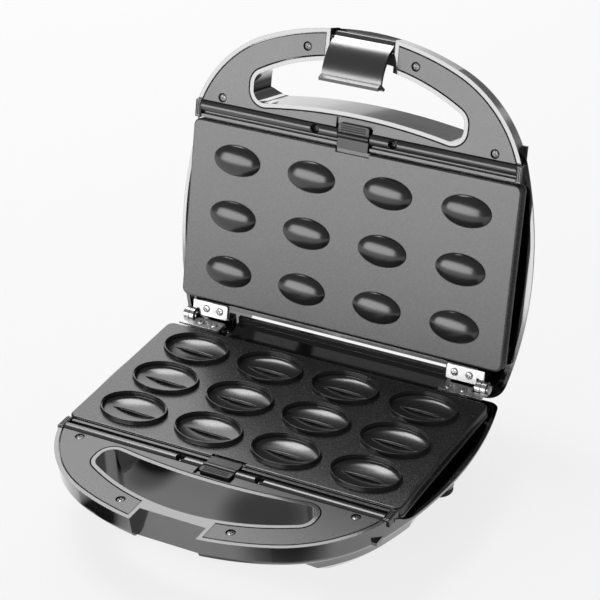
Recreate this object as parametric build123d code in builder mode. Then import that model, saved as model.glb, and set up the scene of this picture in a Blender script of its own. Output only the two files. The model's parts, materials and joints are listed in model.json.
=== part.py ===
"""Electric maker for nut-shaped biscuits, with twelve oval moulds in a hinged pair of plates.

Millimetres. +X is the right-hand side, -Y the handle side, +Z up. The origin is on the table,
under the middle of the open maker's overall box. Base pieces and lid pieces share one half
frame: z = 0 is the deck plane, the body hangs below it, and y = 0 is the hinge axis. The lid's
half is the same frame turned over onto the base and then swung open about the axis.
"""

import os
from math import asin, cos, degrees, dist, pi, radians, sin, sqrt

from build123d import *

# Stance
DECK_HEIGHT = 42.0  # deck plane above the table
AXIS_Y = 57.7  # hinge axis behind the origin
OPEN_ANGLE = 106.4  # lid angle on its stop
GAP = 3.2  # deck plane to deck plane when the lid is shut
AXIS_Z = GAP / 2

# Plates
PLATE_W = 215.0
PLATE_D = 110.5
PLATE_BACK = -10.7
PLATE_FRONT = PLATE_BACK - PLATE_D
PLATE_Y = PLATE_BACK - PLATE_D / 2
PLATE_T = 2.6
SKIRT = 5.5
SKIRT_T = 2.2
PLATE_CORNER = 4.5
PLATE_EDGE_R = 1.2

# Twelve moulds, four across and three deep, and the domes that dip into them
PLATE_RIM_X = 6.7  # plate left beside the outer moulds' cells
PLATE_RIM_Y = 3.5
PITCH_X = (PLATE_W - 2 * PLATE_RIM_X) / 4
PITCH_Y = (PLATE_D - 2 * PLATE_RIM_Y) / 3
RING_A = PITCH_X / 2 - 3.6
RING_B = PITCH_Y / 2 - 2.15
RING_H = 2.6
RING_DRAFT = 0.6
BOWL_A = RING_A - 1.7
BOWL_B = RING_B - 1.6
BOWL_STEP = 0.5  # the ring's mouth is wider than the bowl by this much
BOWL_STEP_DEPTH = 1.0
BOWL_WALL = 3.0  # upright part of the mould's side, from the ring's top
BOWL_DEPTH = 5.6
CUP_WALL = 2.2
KEEL_A = BOWL_A - 3.4
KEEL_B = 1.3
KEEL_CREST = -0.8  # height of the seam's crest
KEEL_FOOT = -3.2
DOME_A = BOWL_A - 4.1
DOME_B = BOWL_B - 4.1
DOME_H = 3.8

# Heating tray under each plate
SHEET = 0.8
TRAY_CORNER = 12.0
TRAY_EDGE = 0.5  # flange past the plate's side
TRAY_HALF = PLATE_W / 2 - 13.5
TRAY_INSET_Y = 7.0
TRAY_DEPTH = 21.0
HEATER_R = 3.3
HEATER_Z = -11.4
HEATER_HALF_X = TRAY_HALF - 10.0
HEATER_HALF_Y = PLATE_D / 2 - TRAY_INSET_Y - 11.25
HEATER_LEAD_X = 10.0
HEATER_BEND = 6.5
TRAY_SCREWS = (HEATER_HALF_X - 14.0, HEATER_HALF_Y - 15.0)  # offsets from the plate's middle
POST_R = 4.0

# Rail in front of each plate
RAIL_BACK = PLATE_FRONT - 1.5
RAIL_FRONT = RAIL_BACK - 9.9
RAIL_SEAT = -9.0
RAIL_HALF = PLATE_W / 2 - 4.5
RIDGE_W = 6.4
RAIL_GROOVE_W = 1.7
CAP_END = RAIL_HALF + 4.0
CAP_SEAT = -4.0
RAIL_END_GAP = 0.4  # between the rail's end and the housing's wall
LEDGE_T = 2.0
RAIL_SCREW_X = 25.5
RAIL_SCREW_Y = RAIL_FRONT + 3.0
RAIL_SCREW_SEAT = -3.2

# Plate clip
CLIP_HALF = 10.0
CLIP_FRONT = RAIL_FRONT - 3.7
CLIP_TRAVEL = 2.5
CLIP_GAP = 0.3
CLIP_TOP = 0.5
CLIP_UNDER = -3.6 + CLIP_GAP
RECESS_HALF = CLIP_HALF + 2.0
RECESS_DEPTH = 1.2
CLIP_RIDGE_Y = RAIL_FRONT + 3.3
CLIP_RIDGE_Z = -0.9
CLIP_RIDGE_R = 2.3
SPRING_R = 1.35
SPRING_WIRE_R = 0.25
SPRING_TURNS = 4

# Deck, hand opening and front of the housing
DECK_BACK = RAIL_FRONT - 0.4  # the deck ends here and the plate well begins
OPENING_HALF = 68.5
OPENING_REAR_Y = DECK_BACK - 10.0
OPENING_REAR_R = 380.0
OPENING_FRONT_Y = OPENING_REAR_Y - 29.5
OPENING_FRONT_R = 131.7
OPENING_CORNER = 7.5
FRONT_Y = OPENING_FRONT_Y - 18.5

# Housing plan: a front arc, two shoulder arcs and two side arcs
FRONT_R = 166.6
SHOULDER_R = 77.3
SHOULDER_START = 21.5  # degrees off the centre line where the shoulder arc begins
SHOULDER_END = 72.2  # degrees off the centre line where the side arc begins
SIDE_R = 227.0
WALL = 2.4


def at(centre, radius, off_centre):
    """Point on a circle, off_centre degrees from straight ahead (-Y) towards +X."""
    angle = radians(off_centre)
    return (centre[0] + radius * sin(angle), centre[1] - radius * cos(angle))


FRONT_C = (0, FRONT_Y + FRONT_R)
SHOULDER_C = at(FRONT_C, FRONT_R - SHOULDER_R, SHOULDER_START)
SIDE_C = at(SHOULDER_C, SHOULDER_R - SIDE_R, SHOULDER_END)
SIDE_MID = SIDE_C[1]  # where the housing is widest
HALF_WIDTH = SIDE_C[0] + SIDE_R

# Housing depth
BAR_DEPTH = 14.5  # handle bar
BAR_DRAFT = 1.5
BAR_FILLET = 5.0
BODY_DEPTH = 37.0
FLOOR_Z = -BODY_DEPTH + WALL
# depth, inset from the widest place, reach past the hand opening, rear edge short of the back, corner radius
BELLY = (
    (8.0, 1.0, 7.0, 0.3, 20.0),
    (13.0, 4.6, 6.6, 0.8, 21.0),
    (19.0, 9.7, 5.4, 2.0, 22.0),
    (24.0, 14.3, 3.6, 3.8, 23.0),
    (29.0, 19.6, 0.4, 6.8, 24.0),
    (33.5, 25.8, -4.4, 11.0, 24.5),
    (BODY_DEPTH, 33.2, -11.0, 17.0, 24.5),
)
BELLY_BOW = 7.0  # the front edge's ends lie this far behind its middle
# the cheeks carry the body forward on both sides of the hand opening: depth, inset, inner edge past the
# opening's end, front edge behind the housing's front
CHEEKS = (
    (11.0, 1.8, -6.5, 20.0),
    (19.0, 5.0, -1.5, 28.0),
    (26.0, 12.0, 3.5, 38.0),
    (30.0, 20.0, 5.5, 50.0),
)
CHEEK_TURN = DECK_BACK + 15.0  # behind here the cheeks fall back to the body
CHEEK_BACK = DECK_BACK + 53.0
CHEEK_FALL = 6.0
RIM_DROP = 9.5  # the side rims lie this far below the deck
RIM_RAMP_END = DECK_BACK + 21.0
FAR = 130.0  # beyond the housing's side
BELOW = -60.0  # under everything
ABOVE = 5.0  # over the deck
WELL_LENGTH = 200.0  # more than the housing behind the deck

# Rear of the housing
BASE_BACK = 5.0
BASE_CORNER = 8.0
LID_BACK = 10.5
LID_CORNER = 14.0
SPINE_HALF = 71.5
SPINE_BACK = 13.0
SPINE_FLOOR = -31.0
SHELF_Z = -3.6
LOBE_INNER = SPINE_HALF + 1.5
LID_MIDDLE_BACK = -8.0

# Latch notch in the handle bar
NOTCH_HALF = 21.0
LUMP_DEPTH = 24.9  # solid part of the handle bar behind the notch
NOTCH_TOP_Y = FRONT_Y + 12.0
NOTCH_FOOT_Y = FRONT_Y + 7.0
POCKET_DEPTH = 12.3

# Deck cover
COVER_T = 2.4
GROOVE = 0.6
COVER_SCREWS = ((89.0, DECK_BACK - 3.4), (35.0, FRONT_Y + 14.3))
COVER_SINK = 1.3  # depth of the screw heads in the cover
SCREW_HEAD_R = 2.6
SHANK_R = 1.35
THREAD_HOLE_R = 1.5

# Hinge
LEAF_T = 1.2
LEAF_IN = LOBE_INNER + 1.0
LEAF_OUT = LEAF_IN + 19.4
LEAF_FRONT = -9.5
LEAF_REAR = -0.6
LEAF_SEAT = -0.4  # leaf's underside in its half frame
KNUCKLE_R = 4.2
PIN_R = 1.6
PIN_CLEAR = 0.05
LID_KNUCKLE = (LEAF_OUT + 1.6, LEAF_OUT + 4.6)
BASE_KNUCKLE = (LEAF_OUT + 4.9, LEAF_OUT + 8.1)
HINGE_SCREW_X = (LEAF_IN + 5.2, LEAF_IN + 14.6)
HINGE_SCREW_Y = -5.2

# Latch
LATCH_Y = FRONT_Y + 7.5
LATCH_Z = -5.5  # pivot in the lid's half frame
LATCH_HALF = 19.2
LATCH_T = 2.2
LATCH_HUB_R = 3.2
LATCH_PIN_R = 1.5
LATCH_DRAPE = 58.0  # turn from hooked to where it rests with the lid open
LATCH_HOOK_GAP = 0.6

# Feet and fittings
FOOT_R = 8.0
FOOT_H = 4.5
FOOT_PLACES = ((HALF_WIDTH - 25.2, PLATE_Y + 20.45), (56.0, PLATE_Y - 42.05))
GLAND_X = -40.0
GLAND_Z = -18.0
GLAND_BORE_R = 3.4
GLAND_TAIL = 13.0
LENS_R = 3.0
LENS_X = 9.0
LENS_Y = PLATE_FRONT + 3.2
WIRE_R = 1.1
WIRE_BEND = 2.0
WIRE_Z = -24.0
THERMOSTAT_X = 34.0
FUSE_X = (-60.0, -16.0)
FUSE_Y = PLATE_Y + 11.95
TERMINALS = (-26.0, -18.0, -10.0)
BLOCK_FRONT = -7.0
LEAD_R = 2.2
LEAD_X = LEAF_OUT - 6.6
LEAD_BEND = 6.0
LEAD_PATH = (
    (LEAD_X - 17.5, -16.0, WIRE_Z),
    (LEAD_X, -16.0, WIRE_Z),
    (LEAD_X, 1.2, -7.2),
    (LEAD_X, 24.5, -3.0),
)


def flip(point):
    """The same point on the left-hand side."""
    return (-point[0], point[1])


def box(x0, x1, y0, y1, z0, z1):
    """Block between two corners, made free-standing."""
    centre = ((x0 + x1) / 2, (y0 + y1) / 2, (z0 + z1) / 2)
    return Pos(*centre) * Box(x1 - x0, y1 - y0, z1 - z0, mode=Mode.PRIVATE)


def post(x, y, z0, z1, radius):
    """Upright cylinder."""
    return Pos(x, y, (z0 + z1) / 2) * Cylinder(radius, z1 - z0, mode=Mode.PRIVATE)


def bar_x(x0, x1, y, z, radius):
    """Cylinder along X."""
    return Pos((x0 + x1) / 2, y, z) * Rot(0, 90, 0) * Cylinder(radius, x1 - x0, mode=Mode.PRIVATE)


def bar_y(x, y0, y1, z, radius):
    """Cylinder along Y."""
    return Pos(x, (y0 + y1) / 2, z) * Rot(90, 0, 0) * Cylinder(radius, y1 - y0, mode=Mode.PRIVATE)


def four(x, y):
    """The point and its mirror images about the plate's middle."""
    return [(i * x, PLATE_Y + j * y) for i in (-1, 1) for j in (-1, 1)]


def both(places):
    """Each place and its mirror image."""
    return [(side * x, y) for x, y in places for side in (-1, 1)]


def housing_plan(inset, back, corner):
    """Plan of the housing at the rim, moved inwards by inset."""
    side_r = SIDE_R - inset
    turn = at(FRONT_C, FRONT_R - inset, SHOULDER_START)
    shoulder_mid = at(SHOULDER_C, SHOULDER_R - inset, (SHOULDER_START + SHOULDER_END) / 2)
    shoulder_end = at(SHOULDER_C, SHOULDER_R - inset, SHOULDER_END)
    rear_angle = 90 + degrees(asin((back - inset - SIDE_MID) / side_r))
    side_mid = at(SIDE_C, side_r, (SHOULDER_END + rear_angle) / 2)
    rear_point = at(SIDE_C, side_r, rear_angle)
    with BuildSketch() as plan:
        with BuildLine():
            ThreePointArc(flip(turn), (0, FRONT_Y + inset), turn)
            ThreePointArc(turn, shoulder_mid, shoulder_end)
            ThreePointArc(shoulder_end, side_mid, rear_point)
            Line(rear_point, flip(rear_point))
            ThreePointArc(flip(rear_point), flip(side_mid), flip(shoulder_end))
            ThreePointArc(flip(shoulder_end), flip(shoulder_mid), flip(turn))
        make_face()
        fillet(plan.vertices().group_by(Axis.Y)[-1], corner - inset)
    return plan.sketch


def opening_plan(grow):
    """Plan of the hand opening, moved outwards by grow."""
    half = OPENING_HALF + grow
    rear_c = (0, OPENING_REAR_Y + OPENING_REAR_R)
    front_c = (0, OPENING_FRONT_Y + OPENING_FRONT_R)
    rear_end = at(rear_c, OPENING_REAR_R - grow, degrees(asin(half / (OPENING_REAR_R - grow))))
    front_end = at(front_c, OPENING_FRONT_R + grow, degrees(asin(half / (OPENING_FRONT_R + grow))))
    with BuildSketch() as plan:
        with BuildLine():
            ThreePointArc(flip(rear_end), (0, OPENING_REAR_Y + grow), rear_end)
            Line(rear_end, front_end)
            ThreePointArc(front_end, (0, OPENING_FRONT_Y - grow), flip(front_end))
            Line(flip(front_end), flip(rear_end))
        make_face()
        fillet(plan.vertices(), OPENING_CORNER + grow)
    return plan.sketch


def side_drop(y):
    """How far the bowed side of the housing falls back at y."""
    return SIDE_R - sqrt(SIDE_R**2 - (y - SIDE_MID) ** 2)


def belly_plan(half, front, back, corner):
    """Plan of the body below the rim: bowed front and sides, a straight back, round corners."""
    ends = front + BELLY_BOW
    front_point = (half - side_drop(ends), ends)
    back_point = (half - side_drop(back), back)
    with BuildSketch() as plan:
        with BuildLine():
            ThreePointArc(flip(front_point), (0, front), front_point)
            ThreePointArc(front_point, (half, SIDE_MID), back_point)
            Line(back_point, flip(back_point))
            ThreePointArc(flip(back_point), (-half, SIDE_MID), flip(front_point))
        make_face()
        fillet(plan.vertices(), corner)
    return plan.sketch


def belly(inset, back):
    """Solid of the body from just below the rim to its bottom."""
    with BuildPart() as body:
        for depth, side, reach, short, corner in BELLY:
            level = -depth + (inset if depth == BODY_DEPTH else 0)
            front = OPENING_REAR_Y - reach + inset
            with BuildSketch(Plane.XY.offset(level)):
                add(belly_plan(HALF_WIDTH - side - inset, front, back - short - inset, corner - inset))
        loft(ruled=True)
    return body.part


def side_x(y, inset):
    """Half width of the housing at y behind the shoulders, less inset."""
    return HALF_WIDTH - inset - side_drop(y)


def cheek_plan(inset, inner, front, grow):
    """Plan of the right-hand cheek at one level, shrunk by grow."""
    with BuildSketch() as plan:
        add(housing_plan(inset + grow, CHEEK_BACK + 20, inset + grow + BASE_CORNER))
        with BuildLine():
            Polyline(
                (inner + grow, front + grow),
                (FAR, front + grow),
                (side_x(CHEEK_TURN, inset + grow) + 2.0, CHEEK_TURN),
                (side_x(CHEEK_BACK, inset + grow) - CHEEK_FALL, CHEEK_BACK),
                (inner + grow, CHEEK_BACK),
                close=True,
            )
        make_face(mode=Mode.INTERSECT)
    return plan.sketch


def cheeks(grow):
    """Solids that carry the body forward beside the hand opening, shrunk by grow."""
    with BuildPart() as right:
        for depth, inset, past, behind in CHEEKS:
            level = -depth + (grow if depth == CHEEKS[-1][0] else 0)
            with BuildSketch(Plane.XY.offset(level)):
                add(cheek_plan(inset, OPENING_HALF + past, FRONT_Y + behind, grow))
        loft(ruled=True)
    return [right.part, mirror(right.part, about=Plane.YZ)]


def prism(face, z0, z1):
    """Upright block on a plan."""
    with BuildPart() as block:
        with BuildSketch(Plane.XY.offset(z0)):
            add(face)
        extrude(amount=z1 - z0)
    return block.part


def rim_cut(back):
    """Space above the lowered side rims, both sides."""
    middle = ((DECK_BACK + RIM_RAMP_END) / 2, -RIM_DROP / 2)
    with BuildPart() as space:
        for x0 in (LOBE_INNER, -FAR):
            with BuildSketch(Plane.YZ.offset(x0)):
                with BuildLine():
                    Polyline(
                        (RIM_RAMP_END, -RIM_DROP),
                        (back + 20, -RIM_DROP),
                        (back + 20, ABOVE),
                        (DECK_BACK - 1.0, ABOVE),
                        (DECK_BACK - 1.0, 0),
                    )
                    ThreePointArc((DECK_BACK - 1.0, 0), (DECK_BACK + 5.0, -2.0), middle)
                    ThreePointArc(middle, (RIM_RAMP_END - 5.5, -RIM_DROP + 1.6), (RIM_RAMP_END, -RIM_DROP))
                make_face()
            extrude(amount=FAR - LOBE_INNER)
    return space.part


def hinge_seats(body):
    """Seats of the hinge leaves, each on three ribs that run down into the body."""
    solids = []
    for side in (-1, 1):
        x0, x1 = sorted((side * LOBE_INNER, side * (LEAF_OUT - 0.4)))
        solids.append(box(x0, x1, LEAF_FRONT - 0.4, LEAF_REAR, -6.0, LEAF_SEAT))
        for rib in (LOBE_INNER, (LOBE_INNER + LEAF_OUT) / 2 - 1.2, LEAF_OUT - 2.8):
            x0, x1 = sorted((side * rib, side * (rib + WALL)))
            solids.append(box(x0, x1, LEAF_FRONT - 0.4, LEAF_REAR, -9.0, -5.0))
            solids.append(body & box(x0, x1, LEAF_FRONT - 0.4, LEAF_REAR, -BODY_DEPTH, -8.5))
    return solids


def housing(back, corner, extras, cuts):
    """Shell of one half: block, body, hollow and hand opening, then its own extras and cuts.

    The first group of extras is cut by the hand opening and the rim; the second stands above it.
    """
    with BuildPart() as block:
        with BuildSketch(Plane.XY.offset(-BAR_DEPTH)):
            add(housing_plan(BAR_DRAFT, back, corner))
        with BuildSketch(Plane.XY):
            add(housing_plan(0, back, corner))
        loft(ruled=True)
        fillet(block.faces().sort_by(Axis.Z)[0].edges(), BAR_FILLET)
    outer_cheeks, hollow_cheeks = cheeks(0), cheeks(WALL)
    with BuildPart() as hollow:
        with BuildSketch(Plane.XY):
            add(housing_plan(WALL + BAR_DRAFT / 2, back, corner))
            with Locations((0, FRONT_Y)):
                Rectangle(2 * (NOTCH_HALF + WALL), 2 * LUMP_DEPTH, mode=Mode.SUBTRACT)
        extrude(amount=WALL - BAR_DEPTH)
        add([belly(WALL, back)] + hollow_cheeks)
        # rebate round the cover
        with BuildSketch(Plane.XY):
            add(housing_plan(WALL, back, corner))
            with Locations((0, DECK_BACK + WELL_LENGTH / 2)):
                Rectangle(2 * FAR, WELL_LENGTH, mode=Mode.SUBTRACT)
            with Locations((0, FRONT_Y)):
                Rectangle(2 * (NOTCH_HALF + WALL), 2 * LUMP_DEPTH, mode=Mode.SUBTRACT)
        extrude(amount=-COVER_T)
        add(prism(opening_plan(WALL), BELOW, ABOVE), mode=Mode.SUBTRACT)
    ledge = box(-RAIL_HALF - 1, RAIL_HALF + 1, OPENING_REAR_Y + 1, RAIL_BACK, RAIL_SEAT - LEDGE_T, RAIL_SEAT)
    solids = [ledge]
    holes = []
    for x, y in both(((RAIL_SCREW_X, RAIL_SCREW_Y),)):
        solids.append(post(x, y, RAIL_SEAT - LEDGE_T - 6, RAIL_SEAT - 0.5, 3.2))
        holes.append(post(x, y, RAIL_SEAT - LEDGE_T - 7, RAIL_SEAT + 1, THREAD_HOLE_R))
    for x, y in both(COVER_SCREWS):
        foot = RAIL_SEAT - 0.5 if y > OPENING_REAR_Y else WALL - BAR_DEPTH - 0.5
        solids.append(post(x, y, foot, -COVER_T, 3.4))
        holes.append(post(x, y, -9.5, 0, THREAD_HOLE_R))
    for x, y in four(*TRAY_SCREWS):
        solids.append(post(x, y, FLOOR_Z - 0.5, -TRAY_DEPTH, POST_R))
        holes.append(post(x, y, -TRAY_DEPTH - 8, -TRAY_DEPTH + 1, THREAD_HOLE_R))
    for x, y in both([(x, HINGE_SCREW_Y) for x in HINGE_SCREW_X]):
        holes.append(post(x, y, -8.5, 1, 1.3))
    for side in (-1, 1):
        # room for the rail's end, and the notch above it for the end block
        for reach, floor in ((RAIL_HALF + RAIL_END_GAP, RAIL_SEAT), (CAP_END + 0.3, CAP_SEAT)):
            x0, x1 = sorted((side * (RAIL_HALF - 0.5), side * reach))
            holes.append(box(x0, x1, DECK_BACK, RAIL_BACK + 1.0, floor, 6))
    with BuildPart() as shell:
        add(block.part)
        add([belly(0, back)] + outer_cheeks)
        add(hollow.part, mode=Mode.SUBTRACT)
        add(solids + extras[0])
        add([prism(opening_plan(0), BELOW, ABOVE), rim_cut(back)], mode=Mode.SUBTRACT)
        add(extras[1])
        add(holes + cuts, mode=Mode.SUBTRACT)
    return shell.part


def base_housing():
    """Lower shell with its spine, legs, foot bosses, notch face and cord hole."""
    inner = SPINE_HALF - WALL
    spine = [
        box(-SPINE_HALF, SPINE_HALF, -9.4, SPINE_BACK, SHELF_Z - WALL, SHELF_Z),
        box(-SPINE_HALF, SPINE_HALF, SPINE_BACK - WALL, SPINE_BACK, SPINE_FLOOR, 0),
        box(-SPINE_HALF, SPINE_HALF, -8.0, SPINE_BACK, SPINE_FLOOR - WALL, SPINE_FLOOR),
    ]
    for x0, x1 in ((-SPINE_HALF, -inner), (inner, SPINE_HALF)):
        spine.append(box(x0, x1, -4.0, SPINE_BACK, SPINE_FLOOR - 0.5, SHELF_Z - 0.5))
    for side in (-1, 1):
        x0, x1 = sorted((side * 55, side * 65))
        spine.append(box(x0, x1, SPINE_BACK - 9, SPINE_BACK, -DECK_HEIGHT, SPINE_FLOOR - 0.5))
    cuts = [
        box(-inner, inner, -9.0, SPINE_BACK - WALL, SPINE_FLOOR, SHELF_Z - WALL),
        box(-LOBE_INNER - 0.5, LOBE_INNER + 0.5, -9.4, SPINE_BACK - WALL, SHELF_Z, 1),
        bar_y(GLAND_X, 0, SPINE_BACK + 1, GLAND_Z, 6.5),
    ]
    cuts.append(box(LEAD_X - 2.7, LEAD_X + 2.7, 0, BASE_BACK + 1, -12.5, -8))
    bosses = []
    for x, y in both(FOOT_PLACES):
        bosses.append(post(x, y, FOOT_H - DECK_HEIGHT, FLOOR_Z + 8, FOOT_R + 0.6))
        cuts.append(post(x, y, FOOT_H - DECK_HEIGHT - 1, FLOOR_Z + 2, 3.0))
    for x in [-38.5 + 11 * step for step in range(8)]:
        for y in (PLATE_Y - 14, PLATE_Y + 30):
            cuts.append(box(x - 1.8, x + 1.8, y - 13, y + 13, -BODY_DEPTH - 1, FLOOR_Z + 1))
    with BuildPart() as notch:
        with BuildSketch(Plane.YZ.offset(-NOTCH_HALF)):
            with BuildLine():
                Polyline(
                    (NOTCH_TOP_Y, 0),
                    (NOTCH_FOOT_Y, -BAR_DEPTH),
                    (FRONT_Y - 5, -BAR_DEPTH - 1),
                    (FRONT_Y - 5, 2),
                    (NOTCH_TOP_Y, 2),
                    close=True,
                )
            make_face()
        extrude(amount=2 * NOTCH_HALF)
    cuts.append(notch.part)
    return housing(BASE_BACK, BASE_CORNER, (spine + bosses, hinge_seats(belly(0, BASE_BACK))), cuts)


def lid_housing():
    """Upper shell with its two rear lobes, latch pocket and lamp holes."""
    inner_back = LID_MIDDLE_BACK - WALL
    body = belly(0, LID_BACK)
    reach = LOBE_INNER + 1
    walls = [
        body & box(-reach, reach, inner_back, LID_MIDDLE_BACK, BELOW, -8),
        box(-reach, reach, inner_back, LID_MIDDLE_BACK, -9, 0),
    ]
    cuts = [
        box(-LOBE_INNER, LOBE_INNER, LID_MIDDLE_BACK, LID_BACK + 5, BELOW, ABOVE),
        box(-NOTCH_HALF, NOTCH_HALF, FRONT_Y - 5, OPENING_FRONT_Y + 5, -POCKET_DEPTH, ABOVE),
    ]
    for side in (-1, 1):
        x0, x1 = sorted((side * LOBE_INNER, side * (LOBE_INNER + WALL)))
        walls.append(body & box(x0, x1, inner_back, LID_BACK, BELOW, -RIM_DROP))
        x0, x1 = sorted((side * (NOTCH_HALF - 0.5), side * (NOTCH_HALF + WALL + 0.5)))
        cuts.append(bar_x(x0, x1, LATCH_Y, LATCH_Z, LATCH_PIN_R + 0.04))
        cuts.append(post(side * LENS_X, LENS_Y, -BODY_DEPTH - 2, FLOOR_Z + 1, LENS_R + 0.1))
    return housing(LID_BACK, LID_CORNER, (walls, hinge_seats(body)), cuts)


def deck_cover():
    """Flat satin cover over the handle and cheeks of one half."""
    with BuildPart() as cover:
        with BuildSketch(Plane.XY.offset(-COVER_T)):
            add(housing_plan(WALL + GROOVE, BASE_BACK, BASE_CORNER))
            add(opening_plan(WALL + GROOVE), mode=Mode.SUBTRACT)
            with Locations((0, DECK_BACK + WELL_LENGTH / 2)):
                Rectangle(2 * FAR, WELL_LENGTH, mode=Mode.SUBTRACT)
            with Locations((0, FRONT_Y)):
                Rectangle(2 * (NOTCH_HALF + WALL), 2 * (LUMP_DEPTH + GROOVE), mode=Mode.SUBTRACT)
        extrude(amount=COVER_T)
        chamfer(cover.faces().sort_by(Axis.Z)[-1].edges(), 0.25)
        # recess for the clip's thumb tab
        recess = CLIP_FRONT - CLIP_TRAVEL - CLIP_GAP
        add(box(-RECESS_HALF, RECESS_HALF, recess, DECK_BACK + 1, -RECESS_DEPTH, 1), mode=Mode.SUBTRACT)
        # way for the clip's slide through the cover's rear edge
        way = RAIL_FRONT - CLIP_TRAVEL - CLIP_GAP
        add(box(-RECESS_HALF, RECESS_HALF, way, DECK_BACK + 1, -COVER_T - 1, 1), mode=Mode.SUBTRACT)
        for x, y in both(COVER_SCREWS):
            add(post(x, y, -COVER_T - 1, 1, 1.6), mode=Mode.SUBTRACT)
            add(post(x, y, -COVER_SINK, 1, SCREW_HEAD_R + 0.15), mode=Mode.SUBTRACT)
    return cover.part


def ellipsoid(a, b, c):
    """Ellipsoid about the origin."""
    return scale(Sphere(1.0, mode=Mode.PRIVATE), by=(a, b, c), mode=Mode.PRIVATE)


def oval_prism(a, b, z0, z1):
    """Upright oval block about the z axis."""
    with BuildPart(mode=Mode.PRIVATE) as block:
        with BuildSketch(Plane.XY.offset(z0)):
            Ellipse(a, b)
        extrude(amount=z1 - z0)
    return block.part


def plate_blank():
    """Flat plate with its skirt and rounded edge."""
    with BuildPart() as blank:
        with BuildSketch(Plane.XY.offset(-SKIRT)):
            with Locations((0, PLATE_Y)):
                RectangleRounded(PLATE_W, PLATE_D, PLATE_CORNER)
        extrude(amount=SKIRT)
        fillet(blank.faces().sort_by(Axis.Z)[-1].edges(), PLATE_EDGE_R)
        with BuildSketch(Plane.XY.offset(-SKIRT)):
            with Locations((0, PLATE_Y)):
                RectangleRounded(PLATE_W - 2 * SKIRT_T, PLATE_D - 2 * SKIRT_T, PLATE_CORNER - SKIRT_T)
        extrude(amount=SKIRT - PLATE_T, mode=Mode.SUBTRACT)
        # recess under the clip's nose
        nose = CLIP_HALF + 1.0
        add(box(-nose, nose, PLATE_FRONT - 1, PLATE_FRONT + 2.6, -1.1, 1), mode=Mode.SUBTRACT)
    return blank.part


def cup():
    """Outside of one mould: the ring that stands on the plate and the cup under it."""
    under = BOWL_DEPTH - RING_H + CUP_WALL
    with BuildPart() as body:
        with BuildSketch(Plane.XY.offset(-PLATE_T / 2)):
            Ellipse(RING_A, RING_B)
        with BuildSketch(Plane.XY.offset(RING_H)):
            Ellipse(RING_A - RING_DRAFT, RING_B - RING_DRAFT)
        loft(ruled=True)
        with BuildSketch(Plane.XY.offset(-PLATE_T / 2)):
            Ellipse(RING_A - 0.4, RING_B - 0.4)
        with BuildSketch(Plane.XY.offset(-under)):
            Ellipse(RING_A - 8.0, RING_B - 6.0)
        loft(ruled=True)
    return body.part


def lower_plate_part():
    """Plate with twelve cups, each with a raised seam along its floor."""
    ring = cup()
    brink = RING_H - BOWL_WALL
    bowl = Pos(0, 0, brink) * ellipsoid(BOWL_A, BOWL_B, BOWL_DEPTH - BOWL_WALL)
    side = oval_prism(BOWL_A, BOWL_B, brink, RING_H + 1)
    mouth = oval_prism(BOWL_A + BOWL_STEP, BOWL_B + BOWL_STEP, RING_H - BOWL_STEP_DEPTH, RING_H + 1)
    keel = Pos(0, 0, KEEL_FOOT) * ellipsoid(KEEL_A, KEEL_B, KEEL_CREST - KEEL_FOOT)
    seam = keel & box(-BOWL_A, BOWL_A, -BOWL_B, BOWL_B, KEEL_FOOT - 0.4, RING_H)
    with BuildPart() as lower_plate:
        add(plate_blank())
        with Locations((0, PLATE_Y)):
            with GridLocations(PITCH_X, PITCH_Y, 4, 3):
                add(ring)
                add(bowl, mode=Mode.SUBTRACT)
                add(side, mode=Mode.SUBTRACT)
                add(mouth, mode=Mode.SUBTRACT)
                add(seam)
    return lower_plate.part


def upper_plate_part():
    """Plate with twelve domes, each dipping into its cup, and the hollows behind them."""
    dome = ellipsoid(DOME_A, DOME_B, DOME_H) & box(-BOWL_A, BOWL_A, -BOWL_A, BOWL_A, -0.5, BOWL_A)
    with BuildPart() as upper_plate:
        add(plate_blank())
        with Locations((0, PLATE_Y)):
            with GridLocations(PITCH_X, PITCH_Y, 4, 3):
                add(dome)
    return upper_plate.part


def tray():
    """Sheet tray that holds the heater and carries the plate on its flange."""
    back = PLATE_BACK - 0.25
    front = PLATE_FRONT - TRAY_EDGE
    with BuildPart() as pan:
        with BuildSketch(Plane.XY.offset(-SKIRT - SHEET)):
            with Locations((0, (front + back) / 2)):
                RectangleRounded(PLATE_W + 2 * TRAY_EDGE, back - front, PLATE_CORNER)
        extrude(amount=SHEET)
        with BuildSketch(Plane.XY.offset(-TRAY_DEPTH)):
            with Locations((0, PLATE_Y)):
                RectangleRounded(2 * TRAY_HALF, PLATE_D - 2 * TRAY_INSET_Y, TRAY_CORNER)
        extrude(amount=TRAY_DEPTH - SKIRT - SHEET / 2)
        with BuildSketch(Plane.XY.offset(-TRAY_DEPTH + SHEET)):
            with Locations((0, PLATE_Y)):
                width = 2 * (TRAY_HALF - SHEET)
                RectangleRounded(width, PLATE_D - 2 * (TRAY_INSET_Y + SHEET), TRAY_CORNER - SHEET)
        extrude(amount=TRAY_DEPTH, mode=Mode.SUBTRACT)
        for x, y in four(*TRAY_SCREWS):
            add(post(x, y, -TRAY_DEPTH - 1, -TRAY_DEPTH + 2, 1.7), mode=Mode.SUBTRACT)
        for side in (-1, 1):
            hole = post(side * HEATER_LEAD_X, PLATE_Y + HEATER_HALF_Y, -TRAY_DEPTH - 1, -TRAY_DEPTH + 2, 4.2)
            add(hole, mode=Mode.SUBTRACT)
    return pan.part


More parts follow.
